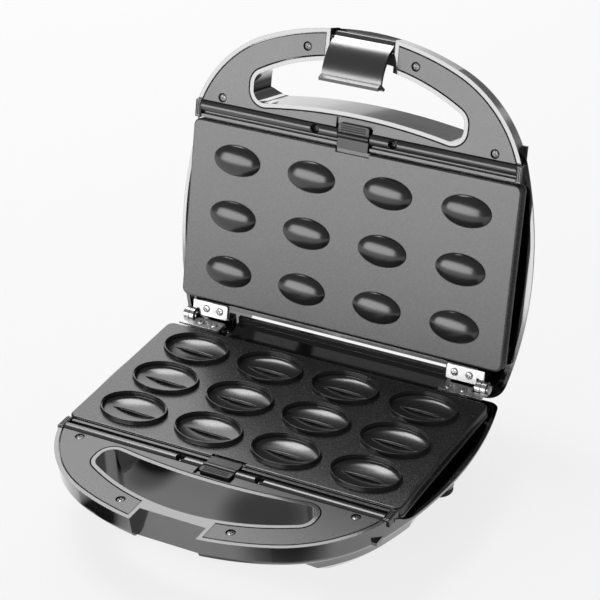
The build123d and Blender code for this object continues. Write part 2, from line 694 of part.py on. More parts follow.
def heater():
    """Tube heater bent round under the moulds, with both ends turned down."""
    near = PLATE_Y + HEATER_HALF_Y
    far = PLATE_Y - HEATER_HALF_Y
    end_z = -TRAY_DEPTH - 4.0
    with BuildPart() as element:
        with BuildLine() as path:
            FilletPolyline(
                (-HEATER_LEAD_X, near, end_z),
                (-HEATER_LEAD_X, near, HEATER_Z),
                (-HEATER_HALF_X, near, HEATER_Z),
                (-HEATER_HALF_X, far, HEATER_Z),
                (HEATER_HALF_X, far, HEATER_Z),
                (HEATER_HALF_X, near, HEATER_Z),
                (HEATER_LEAD_X, near, HEATER_Z),
                (HEATER_LEAD_X, near, end_z),
                radius=HEATER_BEND,
            )
        with BuildSketch(path.line ^ 0):
            Circle(HEATER_R)
        sweep()
    return element.part


def heater_clamps():
    """Sheet brackets that stand on the tray and cradle the heater's tube."""
    low = -TRAY_DEPTH + SHEET
    cradle = HEATER_Z - HEATER_R
    with BuildPart() as clamps:
        for x in (-HEATER_HALF_X / 2, HEATER_HALF_X / 2):
            for y in (PLATE_Y - HEATER_HALF_Y, PLATE_Y + HEATER_HALF_Y):
                add(box(x - 4, x + 4, y - 5, y + 5, low, low + 1.0))
                add(box(x - 4, x + 4, y - 0.6, y + 0.6, low, cradle))
                add(bar_x(x - 4, x + 4, y, HEATER_Z, HEATER_R + 1.0))
                add(bar_x(x - 5, x + 5, y, HEATER_Z, HEATER_R + 0.02), mode=Mode.SUBTRACT)
                add(box(x - 5, x + 5, y - 6, y + 6, HEATER_Z + 0.4, 0), mode=Mode.SUBTRACT)
    return clamps.part


def rail():
    """Strip with a round ridge, a groove and a lip, cut for the clip, its spring and two screws."""
    ridge_back = RAIL_FRONT + RIDGE_W
    groove_back = ridge_back + RAIL_GROOVE_W
    with BuildPart() as strip:
        with BuildSketch(Plane.YZ.offset(-RAIL_HALF)):
            with BuildLine():
                Polyline((RAIL_FRONT, -0.9), (RAIL_FRONT, RAIL_SEAT), (RAIL_BACK, RAIL_SEAT))
                Polyline((RAIL_BACK, RAIL_SEAT), (RAIL_BACK, -0.3), (groove_back, -0.3))
                Polyline((groove_back, -0.3), (groove_back, -2.6), (ridge_back, -2.6))
                Line((ridge_back, -2.6), (ridge_back, -0.9))
                ThreePointArc((ridge_back, -0.9), ((RAIL_FRONT + ridge_back) / 2, 0.7), (RAIL_FRONT, -0.9))
            make_face()
        extrude(amount=2 * RAIL_HALF)
        half = CLIP_HALF + 0.6
        add(box(-half, half, RAIL_FRONT - 1, RAIL_BACK + 1, CLIP_UNDER - CLIP_GAP, 3), mode=Mode.SUBTRACT)
        add(box(-2.3, 2.3, RAIL_FRONT + 1.6, RAIL_BACK + 1, -8.0, -3.0), mode=Mode.SUBTRACT)
        for x, y in both(((RAIL_SCREW_X, RAIL_SCREW_Y),)):
            add(post(x, y, RAIL_SEAT - 1, 2, 1.6), mode=Mode.SUBTRACT)
            add(post(x, y, RAIL_SCREW_SEAT, 2, SCREW_HEAD_R + 0.3), mode=Mode.SUBTRACT)
    return strip.part


def rail_caps():
    """Ribbed end blocks of the rail, one each side."""
    with BuildPart() as caps:
        for side in (-1, 1):
            x0, x1 = sorted((side * RAIL_HALF, side * CAP_END))
            add(box(x0, x1, RAIL_FRONT, RAIL_BACK + 0.6, CAP_SEAT, 0.6))
        fillet(caps.faces().filter_by(Axis.Z).group_by(Axis.Z)[-1].edges(), 0.8)
        for side in (-1, 1):
            for step in range(3):
                x = side * (RAIL_HALF + 0.9 + 1.1 * step)
                add(box(x - 0.25, x + 0.25, RAIL_FRONT + 1.2, RAIL_BACK - 1, 0.1, 2), mode=Mode.SUBTRACT)
    return caps.part


def clip():
    """Sliding plate clip: nose at the plate's edge, thumb tab on the deck, spring lug below."""
    nose = PLATE_FRONT - 0.4
    with BuildPart() as slider:
        add(box(-CLIP_HALF, CLIP_HALF, RAIL_FRONT, nose, CLIP_UNDER, CLIP_TOP))
        add(box(-CLIP_HALF, CLIP_HALF, CLIP_FRONT, RAIL_FRONT + 0.5, -0.9, 0.9))
        fillet(slider.edges().filter_by(Axis.Z).group_by(Axis.Y)[0], 1.5)
        for step in range(3):
            y = CLIP_FRONT + 1.0 + 1.2 * step
            add(box(-CLIP_HALF + 2, CLIP_HALF - 2, y, y + 0.5, CLIP_TOP, 2), mode=Mode.SUBTRACT)
        ridge = bar_x(-CLIP_HALF, CLIP_HALF, CLIP_RIDGE_Y, CLIP_RIDGE_Z, CLIP_RIDGE_R)
        add(ridge & box(-CLIP_HALF, CLIP_HALF, RAIL_FRONT, RAIL_BACK, CLIP_TOP - 0.2, CLIP_TOP + 2))
        add(box(-1.9, 1.9, RAIL_BACK - 1.6, RAIL_BACK - 0.3, -7.4, CLIP_UNDER + 0.5))
    return slider.part


def clip_spring():
    """Compression spring behind the clip's lug, along Y."""
    start = RAIL_FRONT + 1.6 + SPRING_WIRE_R + 0.05
    end = RAIL_BACK - 1.6 - SPRING_WIRE_R - 0.05
    length = end - start
    pitch = length / SPRING_TURNS
    points = [
        (SPRING_R * cos(t), SPRING_R * sin(t), pitch * t / (2 * pi))
        for t in [2 * pi * SPRING_TURNS * i / 240 for i in range(241)]
    ]
    turn = 60
    least = min(dist(points[i], points[j]) for i in range(241) for j in range(i + turn // 2, 241))
    print(f"clip spring: {SPRING_TURNS} turns, least gap to itself {least - 2 * SPRING_WIRE_R:.2f} mm")
    with BuildPart() as coil:
        with BuildLine() as path:
            Helix(pitch=pitch, height=length, radius=SPRING_R)
        with BuildSketch(path.line ^ 0):
            Circle(SPRING_WIRE_R)
        sweep()
    return (Pos(0, start, -5.6) * Rot(-90, 0, 0)) * coil.part


def hinge_leaf(side, knuckle):
    """Leaf of one hinge with its knuckle at the outer end."""
    k0, k1 = knuckle
    with BuildPart() as leaf:
        x0, x1 = sorted((side * LEAF_IN, side * LEAF_OUT))
        add(box(x0, x1, LEAF_FRONT, LEAF_REAR, LEAF_SEAT, LEAF_SEAT + LEAF_T))
        fillet(leaf.edges().filter_by(Axis.Z), 1.2)
        x0, x1 = sorted((side * (LEAF_OUT - 3), side * k1))
        add(box(x0, x1, LEAF_FRONT, -KNUCKLE_R - 0.5, LEAF_SEAT, LEAF_SEAT + LEAF_T))
        x0, x1 = sorted((side * k0, side * k1))
        add(box(x0, x1, LEAF_FRONT, 0, LEAF_SEAT, LEAF_SEAT + LEAF_T))
        add(bar_x(x0, x1, 0, AXIS_Z, KNUCKLE_R))
        add(bar_x(x0 - 1, x1 + 1, 0, AXIS_Z, PIN_R + PIN_CLEAR), mode=Mode.SUBTRACT)
        for x in HINGE_SCREW_X:
            add(post(side * x, HINGE_SCREW_Y, -2, 3, 1.5), mode=Mode.SUBTRACT)
    return leaf.part


def hinge_pin(side):
    """Rivet of one hinge, headed at both ends."""
    inner = LID_KNUCKLE[0] - 0.3
    outer = BASE_KNUCKLE[1] + 0.3
    with BuildPart() as pin:
        x0, x1 = sorted((side * inner, side * outer))
        add(bar_x(x0, x1, 0, AXIS_Z, PIN_R))
        x0, x1 = sorted((side * outer, side * (outer + 1.2)))
        add(bar_x(x0, x1, 0, AXIS_Z, 3.0))
        fillet(pin.faces().sort_by(Axis.X)[-1 if side > 0 else 0].edges(), 0.7)
        x0, x1 = sorted((side * (inner - 0.9), side * inner))
        add(bar_x(x0, x1, 0, AXIS_Z, 2.6))
    return pin.part


def screws(places, seat, head_r, head_h, shank_r, depth):
    """Cross-head screws with their heads on seat, one solid each."""
    with BuildPart() as group:
        slot = Box(head_r * 1.3, 0.6, 1.0, mode=Mode.PRIVATE)
        for x, y in places:
            add(post(x, y, seat, seat + head_h, head_r))
            add(post(x, y, seat - depth, seat, shank_r))
            for turned in (0, 90):
                add(Pos(x, y, seat + head_h) * Rot(0, 0, turned) * slot, mode=Mode.SUBTRACT)
        fillet(group.faces().filter_by(Axis.Z).group_by(Axis.Z)[-1].edges().filter_by(GeomType.CIRCLE), 0.3)
    return group.part


def latch_profile():
    """Section of the latch, hooked, in the lid's half frame turned over: z up from the base."""
    hook = -BAR_DEPTH - LATCH_HOOK_GAP
    head = GAP - LATCH_Z + 3.9
    bow = LATCH_Y - 6.6
    outer_head = (LATCH_Y - 1.7, head)
    inner_head = (LATCH_Y + 0.1, head - 0.6)
    outer_foot = (LATCH_Y - 3.5, hook - 0.3)
    inner_foot = (LATCH_Y - 1.4, hook)
    with BuildSketch(Plane.YZ) as section:
        with BuildLine():
            ThreePointArc(outer_head, (bow, -2.0), outer_foot)
            Polyline(
                outer_foot,
                (LATCH_Y - 5.5, hook - 3.3),
                (LATCH_Y - 4.1, hook - 4.7),
                (LATCH_Y - 0.5, hook - 1.9),
                (LATCH_Y + 3.1, hook - 1.7),
                (LATCH_Y + 3.5, hook),
                inner_foot,
            )
            ThreePointArc(inner_foot, (bow + LATCH_T, -2.0), inner_head)
            Line(inner_head, outer_head)
        make_face()
    return section.sketch


def latch():
    """Curved latch with its hub, hook and finger lip, hooked under the base's bar."""
    pivot_z = GAP - LATCH_Z
    with BuildPart() as body:
        extrude(latch_profile(), amount=LATCH_HALF, both=True)
        add(bar_x(-LATCH_HALF, LATCH_HALF, LATCH_Y, pivot_z, LATCH_HUB_R))
        add(box(-LATCH_HALF, LATCH_HALF, LATCH_Y - 4.0, LATCH_Y, pivot_z - 1.5, pivot_z + 2.6))
        add(bar_x(-LATCH_HALF - 1, LATCH_HALF + 1, LATCH_Y, pivot_z, LATCH_PIN_R + 0.05), mode=Mode.SUBTRACT)
    return body.part


def wires(routes, level):
    """Insulated wires at one level along routes of straight runs and round bends."""
    with BuildPart() as harness:
        for route in routes:
            with BuildLine() as path:
                FilletPolyline(*[(x, y, level) for x, y in route], radius=WIRE_BEND)
            with BuildSketch(path.line ^ 0):
                Circle(WIRE_R)
            sweep()
    return harness.part


def lamp_board():
    """Board under the lamps with its two lamps and standoffs."""
    top = FLOOR_Z + 5.0
    with BuildPart() as board:
        add(box(-18, 18, LENS_Y - 6, LENS_Y + 6, top, top + 1.6))
        for side in (-1, 1):
            add(post(side * LENS_X, LENS_Y, top - 3.4, top, 2.2))
            add(post(side * 15, LENS_Y, FLOOR_Z, top, 2.0))
    return board.part


def lens(x):
    """Lamp window in the lid's roof."""
    with BuildPart() as window:
        add(post(x, LENS_Y, -BODY_DEPTH - 0.8, FLOOR_Z, LENS_R))
        add(post(x, LENS_Y, FLOOR_Z, FLOOR_Z + 1.0, LENS_R + 0.8))
        fillet(window.faces().sort_by(Axis.Z)[0].edges(), 0.6)
    return window.part


def thermostat_part():
    """Thermostat on the tray's underside: collar, cup and a blade on each side."""
    top = -TRAY_DEPTH
    with BuildPart() as switch:
        add(post(THERMOSTAT_X, PLATE_Y, top - 1.2, top, 9.0))
        add(post(THERMOSTAT_X, PLATE_Y, top - 6.5, top - 1.2, 7.2))
        for x in (THERMOSTAT_X - 9.5, THERMOSTAT_X + 9.5):
            add(box(x - 3, x + 3, PLATE_Y - 2.4, PLATE_Y + 2.4, WIRE_Z - 0.4, WIRE_Z + 0.4))
    return switch.part


def fuse_part():
    """Thermal fuse in its sleeve, held under the tray, with a crimp on each lead."""
    x0, x1 = FUSE_X
    middle = (x0 + x1) / 2
    with BuildPart() as fuse:
        add(bar_x(middle - 10, middle + 10, FUSE_Y, WIRE_Z, 2.2))
        add(bar_x(x0, x1, FUSE_Y, WIRE_Z, 0.6))
        for x in (x0, x1):
            add(bar_y(x, FUSE_Y - 3, FUSE_Y + 3, WIRE_Z, 1.5))
        add(box(middle - 2, middle + 2, FUSE_Y - 2.8, FUSE_Y + 6, -TRAY_DEPTH - 0.8, -TRAY_DEPTH))
        add(box(middle - 2, middle + 2, FUSE_Y - 2.8, FUSE_Y - 1.9, WIRE_Z - 2, -TRAY_DEPTH))
    return fuse.part


def terminal_block_part():
    """Three-way terminal block on the base's floor."""
    floor = SPINE_FLOOR
    with BuildPart() as block:
        add(box(TERMINALS[0] - 4, TERMINALS[-1] + 4, BLOCK_FRONT, BLOCK_FRONT + 10, floor, floor + 9.5))
        for x in TERMINALS:
            add(post(x, BLOCK_FRONT + 5, floor + 5, floor + 10, 2.0), mode=Mode.SUBTRACT)
            add(bar_y(x, BLOCK_FRONT - 1, BLOCK_FRONT + 11, WIRE_Z, 1.5), mode=Mode.SUBTRACT)
    return block.part


def base_wires():
    """Wires of the base, all at one level under the tray."""
    near = PLATE_Y + HEATER_HALF_Y
    start = BLOCK_FRONT - 0.2
    tube = HEATER_LEAD_X + HEATER_R + 0.2
    run_y = start - 9
    routes = (
        ((TERMINALS[0], start), (TERMINALS[0], run_y), (FUSE_X[0], run_y), (FUSE_X[0], FUSE_Y + 3.2)),
        ((FUSE_X[1], FUSE_Y - 3.2), (FUSE_X[1], PLATE_Y), (THERMOSTAT_X - 12.7, PLATE_Y)),
        ((THERMOSTAT_X + 12.7, PLATE_Y), (56, PLATE_Y), (56, near), (tube, near)),
        ((TERMINALS[1], start), (TERMINALS[1], near), (-tube, near)),
        ((TERMINALS[2], start), (TERMINALS[2], run_y), (LEAD_X - 18, run_y)),
    )
    return wires(routes, WIRE_Z)


def lid_wires():
    """Wires of the lid, from the lead's end to the heater and the lamps, at one level."""
    near = PLATE_Y + HEATER_HALF_Y
    tube = HEATER_LEAD_X + HEATER_R + 0.2
    routes = (
        ((-LEAD_X - 1.2, -4.9), (-LEAD_X - 1.2, -17.2), (-60, -17.2), (-60, near), (-tube, near)),
        ((-LEAD_X + 1.2, -4.9), (-LEAD_X + 1.2, -14), (tube + 8, -14), (tube + 8, near), (tube, near)),
    )
    return wires(routes, WIRE_Z)


def link_lead():
    """Flexible lead from the base into the lid's right-hand lobe, in the open maker's frame."""
    with BuildPart() as lead:
        with BuildLine() as path:
            FilletPolyline(*LEAD_PATH, radius=LEAD_BEND)
        with BuildSketch(path.line ^ 0):
            Circle(LEAD_R)
        sweep()
    return lead.part


def gland_part():
    """Cord bushing in the spine's rear wall, with a tapered tail."""
    with BuildPart() as gland:
        add(bar_y(GLAND_X, SPINE_BACK - WALL - 3.0, SPINE_BACK, GLAND_Z, 6.4))
        add(bar_y(GLAND_X, SPINE_BACK, SPINE_BACK + 2.0, GLAND_Z, 8.2))
        tail = Rot(-90, 0, 0) * Cone(5.6, 4.6, GLAND_TAIL, mode=Mode.PRIVATE)
        add(Pos(GLAND_X, SPINE_BACK + 2.0 + GLAND_TAIL / 2, GLAND_Z) * tail)
        for step in range(3):
            y = SPINE_BACK + 4.5 + 3.6 * step
            groove = bar_y(GLAND_X, y, y + 1.4, GLAND_Z, 7.0) - bar_y(GLAND_X, y - 1, y + 3, GLAND_Z, 4.4)
            add(groove, mode=Mode.SUBTRACT)
        add(bar_y(GLAND_X, 0, SPINE_BACK + 20, GLAND_Z, GLAND_BORE_R), mode=Mode.SUBTRACT)
    return gland.part


def feet():
    """Rubber feet with their plugs."""
    with BuildPart() as rubber:
        for x, y in both(FOOT_PLACES):
            add(post(x, y, -DECK_HEIGHT, FOOT_H - DECK_HEIGHT, FOOT_R))
        fillet(rubber.faces().filter_by(Axis.Z).group_by(Axis.Z)[0].edges(), 0.8)
        for x, y in both(FOOT_PLACES):
            add(post(x, y, FOOT_H - DECK_HEIGHT, FOOT_H - DECK_HEIGHT + 3, 2.9))
    return rubber.part


BASE = Location((0, AXIS_Y, DECK_HEIGHT))
SWING = Location((0, 0, AXIS_Z)) * Location((0, 0, 0), (-OPEN_ANGLE, 0, 0)) * Location((0, 0, -AXIS_Z))
SHUT = Location((0, 0, GAP), (0, 180, 0))
LID = BASE * SWING * SHUT
LATCH_PIVOT = Location((0, LATCH_Y, GAP - LATCH_Z))
DRAPED = LATCH_PIVOT * Location((0, 0, 0), (LATCH_DRAPE, 0, 0)) * LATCH_PIVOT.inverse()

os.makedirs("parts", exist_ok=True)


def write(name, part, place):
    """Put a finished piece where it stands, name it and write its STEP file."""
    piece = part.moved(place)
    piece.label = name
    export_step(piece, f"parts/{name}.step")
    return piece


# Both halves
COVER = deck_cover()
TRAY = tray()
HEATER = heater()
CLAMPS = heater_clamps()
RAIL = rail()
CAPS = rail_caps()
CLIP = clip()
SPRING = clip_spring()
COVER_FIXINGS = screws(both(COVER_SCREWS), -COVER_SINK, SCREW_HEAD_R, COVER_SINK, SHANK_R, 6.5)
RAIL_PLACES = both(((RAIL_SCREW_X, RAIL_SCREW_Y),))
RAIL_FIXINGS = screws(RAIL_PLACES, RAIL_SCREW_SEAT, SCREW_HEAD_R, 1.6, SHANK_R, 12.0)
TRAY_FIXINGS = screws(four(*TRAY_SCREWS), -TRAY_DEPTH + SHEET, 3.0, 1.8, SHANK_R, 7.5)
HINGE_PLACES = both([(x, HINGE_SCREW_Y) for x in HINGE_SCREW_X])
HINGE_FIXINGS = screws(HINGE_PLACES, LEAF_SEAT + LEAF_T, 2.4, 0.6, 1.2, 7.0)

pieces = []
for half, place, knuckle in (("base", BASE, BASE_KNUCKLE), ("lid", LID, LID_KNUCKLE)):
    pieces.append(write(f"{half}_deck_cover", COVER, place))
    pieces.append(write(f"{half}_deck_screws", COVER_FIXINGS, place))
    pieces.append(write(f"{half}_tray", TRAY, place))
    pieces.append(write(f"{half}_tray_screws", TRAY_FIXINGS, place))
    pieces.append(write(f"{half}_heater", HEATER, place))
    pieces.append(write(f"{half}_heater_clamps", CLAMPS, place))
    pieces.append(write(f"{half}_rail", RAIL, place))
    pieces.append(write(f"{half}_rail_caps", CAPS, place))
    pieces.append(write(f"{half}_rail_screws", RAIL_FIXINGS, place))
    pieces.append(write(f"{half}_plate_clip", CLIP, place))
    pieces.append(write(f"{half}_clip_spring", SPRING, place))
    pieces.append(write(f"{half}_hinge_screws", HINGE_FIXINGS, place))
    # The lid's half is turned over, so its own left is the maker's right
    turned = 1 if half == "base" else -1
    pieces.append(write(f"{half}_hinge_leaf_right", hinge_leaf(turned, knuckle), place))
    pieces.append(write(f"{half}_hinge_leaf_left", hinge_leaf(-turned, knuckle), place))

pieces.append(write("hinge_pin_right", hinge_pin(1), BASE))
pieces.append(write("hinge_pin_left", hinge_pin(-1), BASE))

# Base only
pieces.append(write("base_shell", base_housing(), BASE))
pieces.append(write("lower_plate", lower_plate_part(), BASE))
pieces.append(write("rubber_feet", feet(), BASE))
pieces.append(write("thermostat", thermostat_part(), BASE))
pieces.append(write("thermal_fuse", fuse_part(), BASE))
pieces.append(write("terminal_block", terminal_block_part(), BASE))
pieces.append(write("cord_gland", gland_part(), BASE))
pieces.append(write("base_wiring", base_wires(), BASE))
pieces.append(write("link_lead", link_lead(), BASE))

# Lid only
pieces.append(write("lid_shell", lid_housing(), LID))
pieces.append(write("upper_plate", upper_plate_part(), LID))
pieces.append(write("lid_wiring", lid_wires(), LID))
pieces.append(write("lamp_board", lamp_board(), LID))
pieces.append(write("power_lens", lens(LENS_X), LID))
pieces.append(write("ready_lens", lens(-LENS_X), LID))

# Latch
latch_place = BASE * SWING * DRAPED
pin = bar_x(-NOTCH_HALF - WALL + 0.2, NOTCH_HALF + WALL - 0.2, LATCH_Y, GAP - LATCH_Z, LATCH_PIN_R)
pieces.append(write("latch_pin", pin, latch_place))
pieces.append(write("latch", latch(), latch_place))

whole = Compound(children=pieces).bounding_box()
print("overall box", whole.min, whole.max, "middle", (whole.min + whole.max) / 2)
pivot = (BASE * SWING * LATCH_PIVOT).position
print("latch pivot", pivot, "hinge axis", (BASE * Location((0, 0, AXIS_Z))).position)
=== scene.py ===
"""Looks of the maker for nut-shaped biscuits: finishes, screws, link lead, stage, lights, camera."""

from __future__ import annotations

import json
import logging
import math
from dataclasses import dataclass, field
from enum import Enum

import bmesh
import bpy
from mathutils import Matrix, Vector

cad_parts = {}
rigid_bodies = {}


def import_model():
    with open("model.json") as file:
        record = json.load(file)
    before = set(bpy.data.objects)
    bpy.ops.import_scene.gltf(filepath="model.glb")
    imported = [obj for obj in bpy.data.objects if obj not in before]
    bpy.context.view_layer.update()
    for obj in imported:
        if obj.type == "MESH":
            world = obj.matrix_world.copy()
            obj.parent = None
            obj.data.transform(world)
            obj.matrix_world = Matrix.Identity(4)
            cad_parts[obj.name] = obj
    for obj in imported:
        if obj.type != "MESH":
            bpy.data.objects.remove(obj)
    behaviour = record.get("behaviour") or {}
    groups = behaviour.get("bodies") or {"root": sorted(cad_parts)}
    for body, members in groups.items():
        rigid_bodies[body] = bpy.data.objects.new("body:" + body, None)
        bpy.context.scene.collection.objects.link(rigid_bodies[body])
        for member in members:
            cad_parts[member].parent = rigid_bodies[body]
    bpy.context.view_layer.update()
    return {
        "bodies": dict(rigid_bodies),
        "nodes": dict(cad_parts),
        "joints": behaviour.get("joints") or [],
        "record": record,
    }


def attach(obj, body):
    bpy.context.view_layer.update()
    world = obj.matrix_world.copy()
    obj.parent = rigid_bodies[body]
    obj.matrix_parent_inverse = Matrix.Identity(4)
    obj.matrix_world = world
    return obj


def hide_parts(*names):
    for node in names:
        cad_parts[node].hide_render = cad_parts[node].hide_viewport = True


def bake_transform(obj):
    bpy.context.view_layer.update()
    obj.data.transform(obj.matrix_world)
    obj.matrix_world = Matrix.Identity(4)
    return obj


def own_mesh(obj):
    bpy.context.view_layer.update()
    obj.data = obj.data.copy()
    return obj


log = logging.getLogger("maker")

MM = 0.001


class Half(Enum):
    """The two halves of the maker."""

    BASE = "base"
    LID = "lid"


@dataclass(frozen=True)
class HalfFrame:
    """Where one half's own axes stand: its deck is the plane h = 0 and v runs from the hinge forward.

    The lid is the same half turned over onto the base and swung open about the hinge.
    """

    half: Half
    hinge_y: float = 57.7 * MM
    deck_z: float = 42.0 * MM
    gap: float = 3.2 * MM
    open_angle: float = math.radians(106.4)

    def place(self) -> Matrix:
        """Matrix from the half's axes (x right, y back, z out of the deck) to the row frame.

        Returns:
            The half's place and turn.
        """
        base = Matrix.Translation((0, self.hinge_y, self.deck_z))
        if self.half is Half.BASE:
            return base
        lift = Matrix.Translation((0, 0, self.gap / 2))
        swing = lift @ Matrix.Rotation(-self.open_angle, 4, "X") @ lift.inverted()
        shut = Matrix.Translation((0, 0, self.gap)) @ Matrix.Rotation(math.pi, 4, "Y")
        return base @ swing @ shut

    def point(self, x: float, y: float, z: float) -> Vector:
        """A point of the half, in millimetres, as metres in the row frame."""
        return self.place() @ Vector((x * MM, y * MM, z * MM))

    def direction(self, x: float, y: float, z: float) -> Vector:
        """A direction of the half in the row frame."""
        return self.place().to_3x3() @ Vector((x, y, z))


class Value:
    """A number in a node tree, usable in Python expressions."""

    def __init__(self, graph: Graph, socket: bpy.types.NodeSocket) -> None:
        """Wrap an output socket of a graph."""
        self.graph = graph
        self.socket = socket

    def _maths(self, operation: str, first: object, second: object = 0.0) -> Value:
        """Add a Math node on two values and wrap its result."""
        made = self.graph.node("ShaderNodeMath", {"operation": operation}, {0: first, 1: second})
        return Value(self.graph, made.outputs[0])

    def __add__(self, other: Value | float) -> Value:
        """Sum."""
        return self._maths("ADD", self, other)

    def __radd__(self, other: float) -> Value:
        """Sum with a number first."""
        return self._maths("ADD", other, self)

    def __sub__(self, other: Value | float) -> Value:
        """Difference."""
        return self._maths("SUBTRACT", self, other)

    def __rsub__(self, other: float) -> Value:
        """Difference with a number first."""
        return self._maths("SUBTRACT", other, self)

    def __mul__(self, other: Value | float) -> Value:
        """Product."""
        return self._maths("MULTIPLY", self, other)

    def __rmul__(self, other: float) -> Value:
        """Product with a number first."""
        return self._maths("MULTIPLY", other, self)

    def __truediv__(self, other: Value | float) -> Value:
        """Quotient."""
        return self._maths("DIVIDE", self, other)

    def __mod__(self, other: float) -> Value:
        """Remainder that is never negative."""
        return self._maths("FLOORED_MODULO", self, other)

    def at_most(self, other: Value | float) -> Value:
        """The smaller of the two."""
        return self._maths("MINIMUM", self, other)

    def ramp(self, low: float, high: float) -> Value:
        """Smooth step from 0 at low to 1 at high.

        Args:
            low: Where the step starts.
            high: Where the step ends; it may be below low for a falling step.

        Returns:
            The stepped value.
        """
        made = self.graph.node(
            "ShaderNodeMapRange",
            {"interpolation_type": "SMOOTHSTEP", "clamp": True},
            {"Value": self, "From Min": low, "From Max": high},
        )
        return Value(self.graph, made.outputs["Result"])


class Graph:
    """Builds the nodes of one material or geometry tree."""

    NOISE_ROUGHNESS = 0.55
    SPECK_CORE = 0.6  # share of a speck's radius that is fully shown
    SPECK_CHOICE = (0.45, 0.55)  # about half of the cells hold a speck

    def __init__(self, tree: bpy.types.NodeTree) -> None:
        """Work on a tree."""
        self.tree = tree

    def node(self, kind: str, settings: dict | None = None, inputs: dict | None = None) -> bpy.types.Node:
        """Add a node.

        Args:
            kind: The node's type name.
            settings: Its properties, set before its sockets.
            inputs: Values, or links, for its sockets by name or number.

        Returns:
            The new node.
        """
        made = self.tree.nodes.new(kind)
        for name, value in (settings or {}).items():
            setattr(made, name, value)
        for name, value in (inputs or {}).items():
            target = made.inputs[name]
            if isinstance(value, Value):
                value = value.socket
            if isinstance(value, bpy.types.NodeSocket):
                self.tree.links.new(value, target)
            else:
                target.default_value = value
        return made

    def noise(self, where: bpy.types.NodeSocket, scale: float, detail: float = 2.0) -> Value:
        """Fractal noise from 0 to 1 with features of about 1 / scale metres.

        Args:
            where: The surface's Object coordinates.
            scale: Features per metre.
            detail: How many finer layers are added.

        Returns:
            The noise.
        """
        sockets = {"Vector": where, "Scale": scale, "Detail": detail, "Roughness": self.NOISE_ROUGHNESS}
        made = self.node("ShaderNodeTexNoise", {}, sockets)
        return Value(self, made.outputs[0])

    def specks(self, where: bpy.types.NodeSocket, scale: float, size: float) -> Value:
        """Round specks, 1 inside and 0 outside, about 1 / scale metres apart.

        Args:
            where: The surface's Object coordinates.
            scale: Specks per metre.
            size: Their radius, as a share of their distance.

        Returns:
            The specks' mask.
        """
        made = self.node("ShaderNodeTexVoronoi", {}, {"Vector": where, "Scale": scale})
        spread = Value(self, made.outputs["Color"])
        near = Value(self, made.outputs["Distance"]).ramp(size, size * self.SPECK_CORE)
        return near * spread.ramp(*self.SPECK_CHOICE)

    def along(self, where: bpy.types.NodeSocket, start: Vector, direction: Vector) -> Value:
        """Distance of the shaded point from start, measured along a direction.

        Args:
            where: The surface's Object coordinates.
            start: Where the distance is 0.
            direction: A unit direction.

        Returns:
            The distance in metres.
        """
        away = self.node("ShaderNodeVectorMath", {"operation": "SUBTRACT"}, {0: where, 1: start})
        sockets = {0: away.outputs[0], 1: direction}
        made = self.node("ShaderNodeVectorMath", {"operation": "DOT_PRODUCT"}, sockets)
        return Value(self, made.outputs["Value"])

    def blend(self, mask: Value, low: tuple, high: tuple) -> bpy.types.NodeSocket:
        """Colour between two, low where the mask is 0 and high where it is 1.

        Args:
            mask: A value from 0 to 1.
            low: Colour at 0.
            high: Colour at 1.

        Returns:
            The mixed colour.
        """
        made = self.node(
            "ShaderNodeMix", {"data_type": "RGBA"}, {"Factor": mask, 6: (*low, 1.0), 7: (*high, 1.0)}
        )
        return made.outputs[2]


def grey(level: float, warm: float = 0.0) -> tuple[float, float, float]:
    """A neutral colour, or a slightly warm one."""
    return (level * (1 + warm), level, level * (1 - warm))


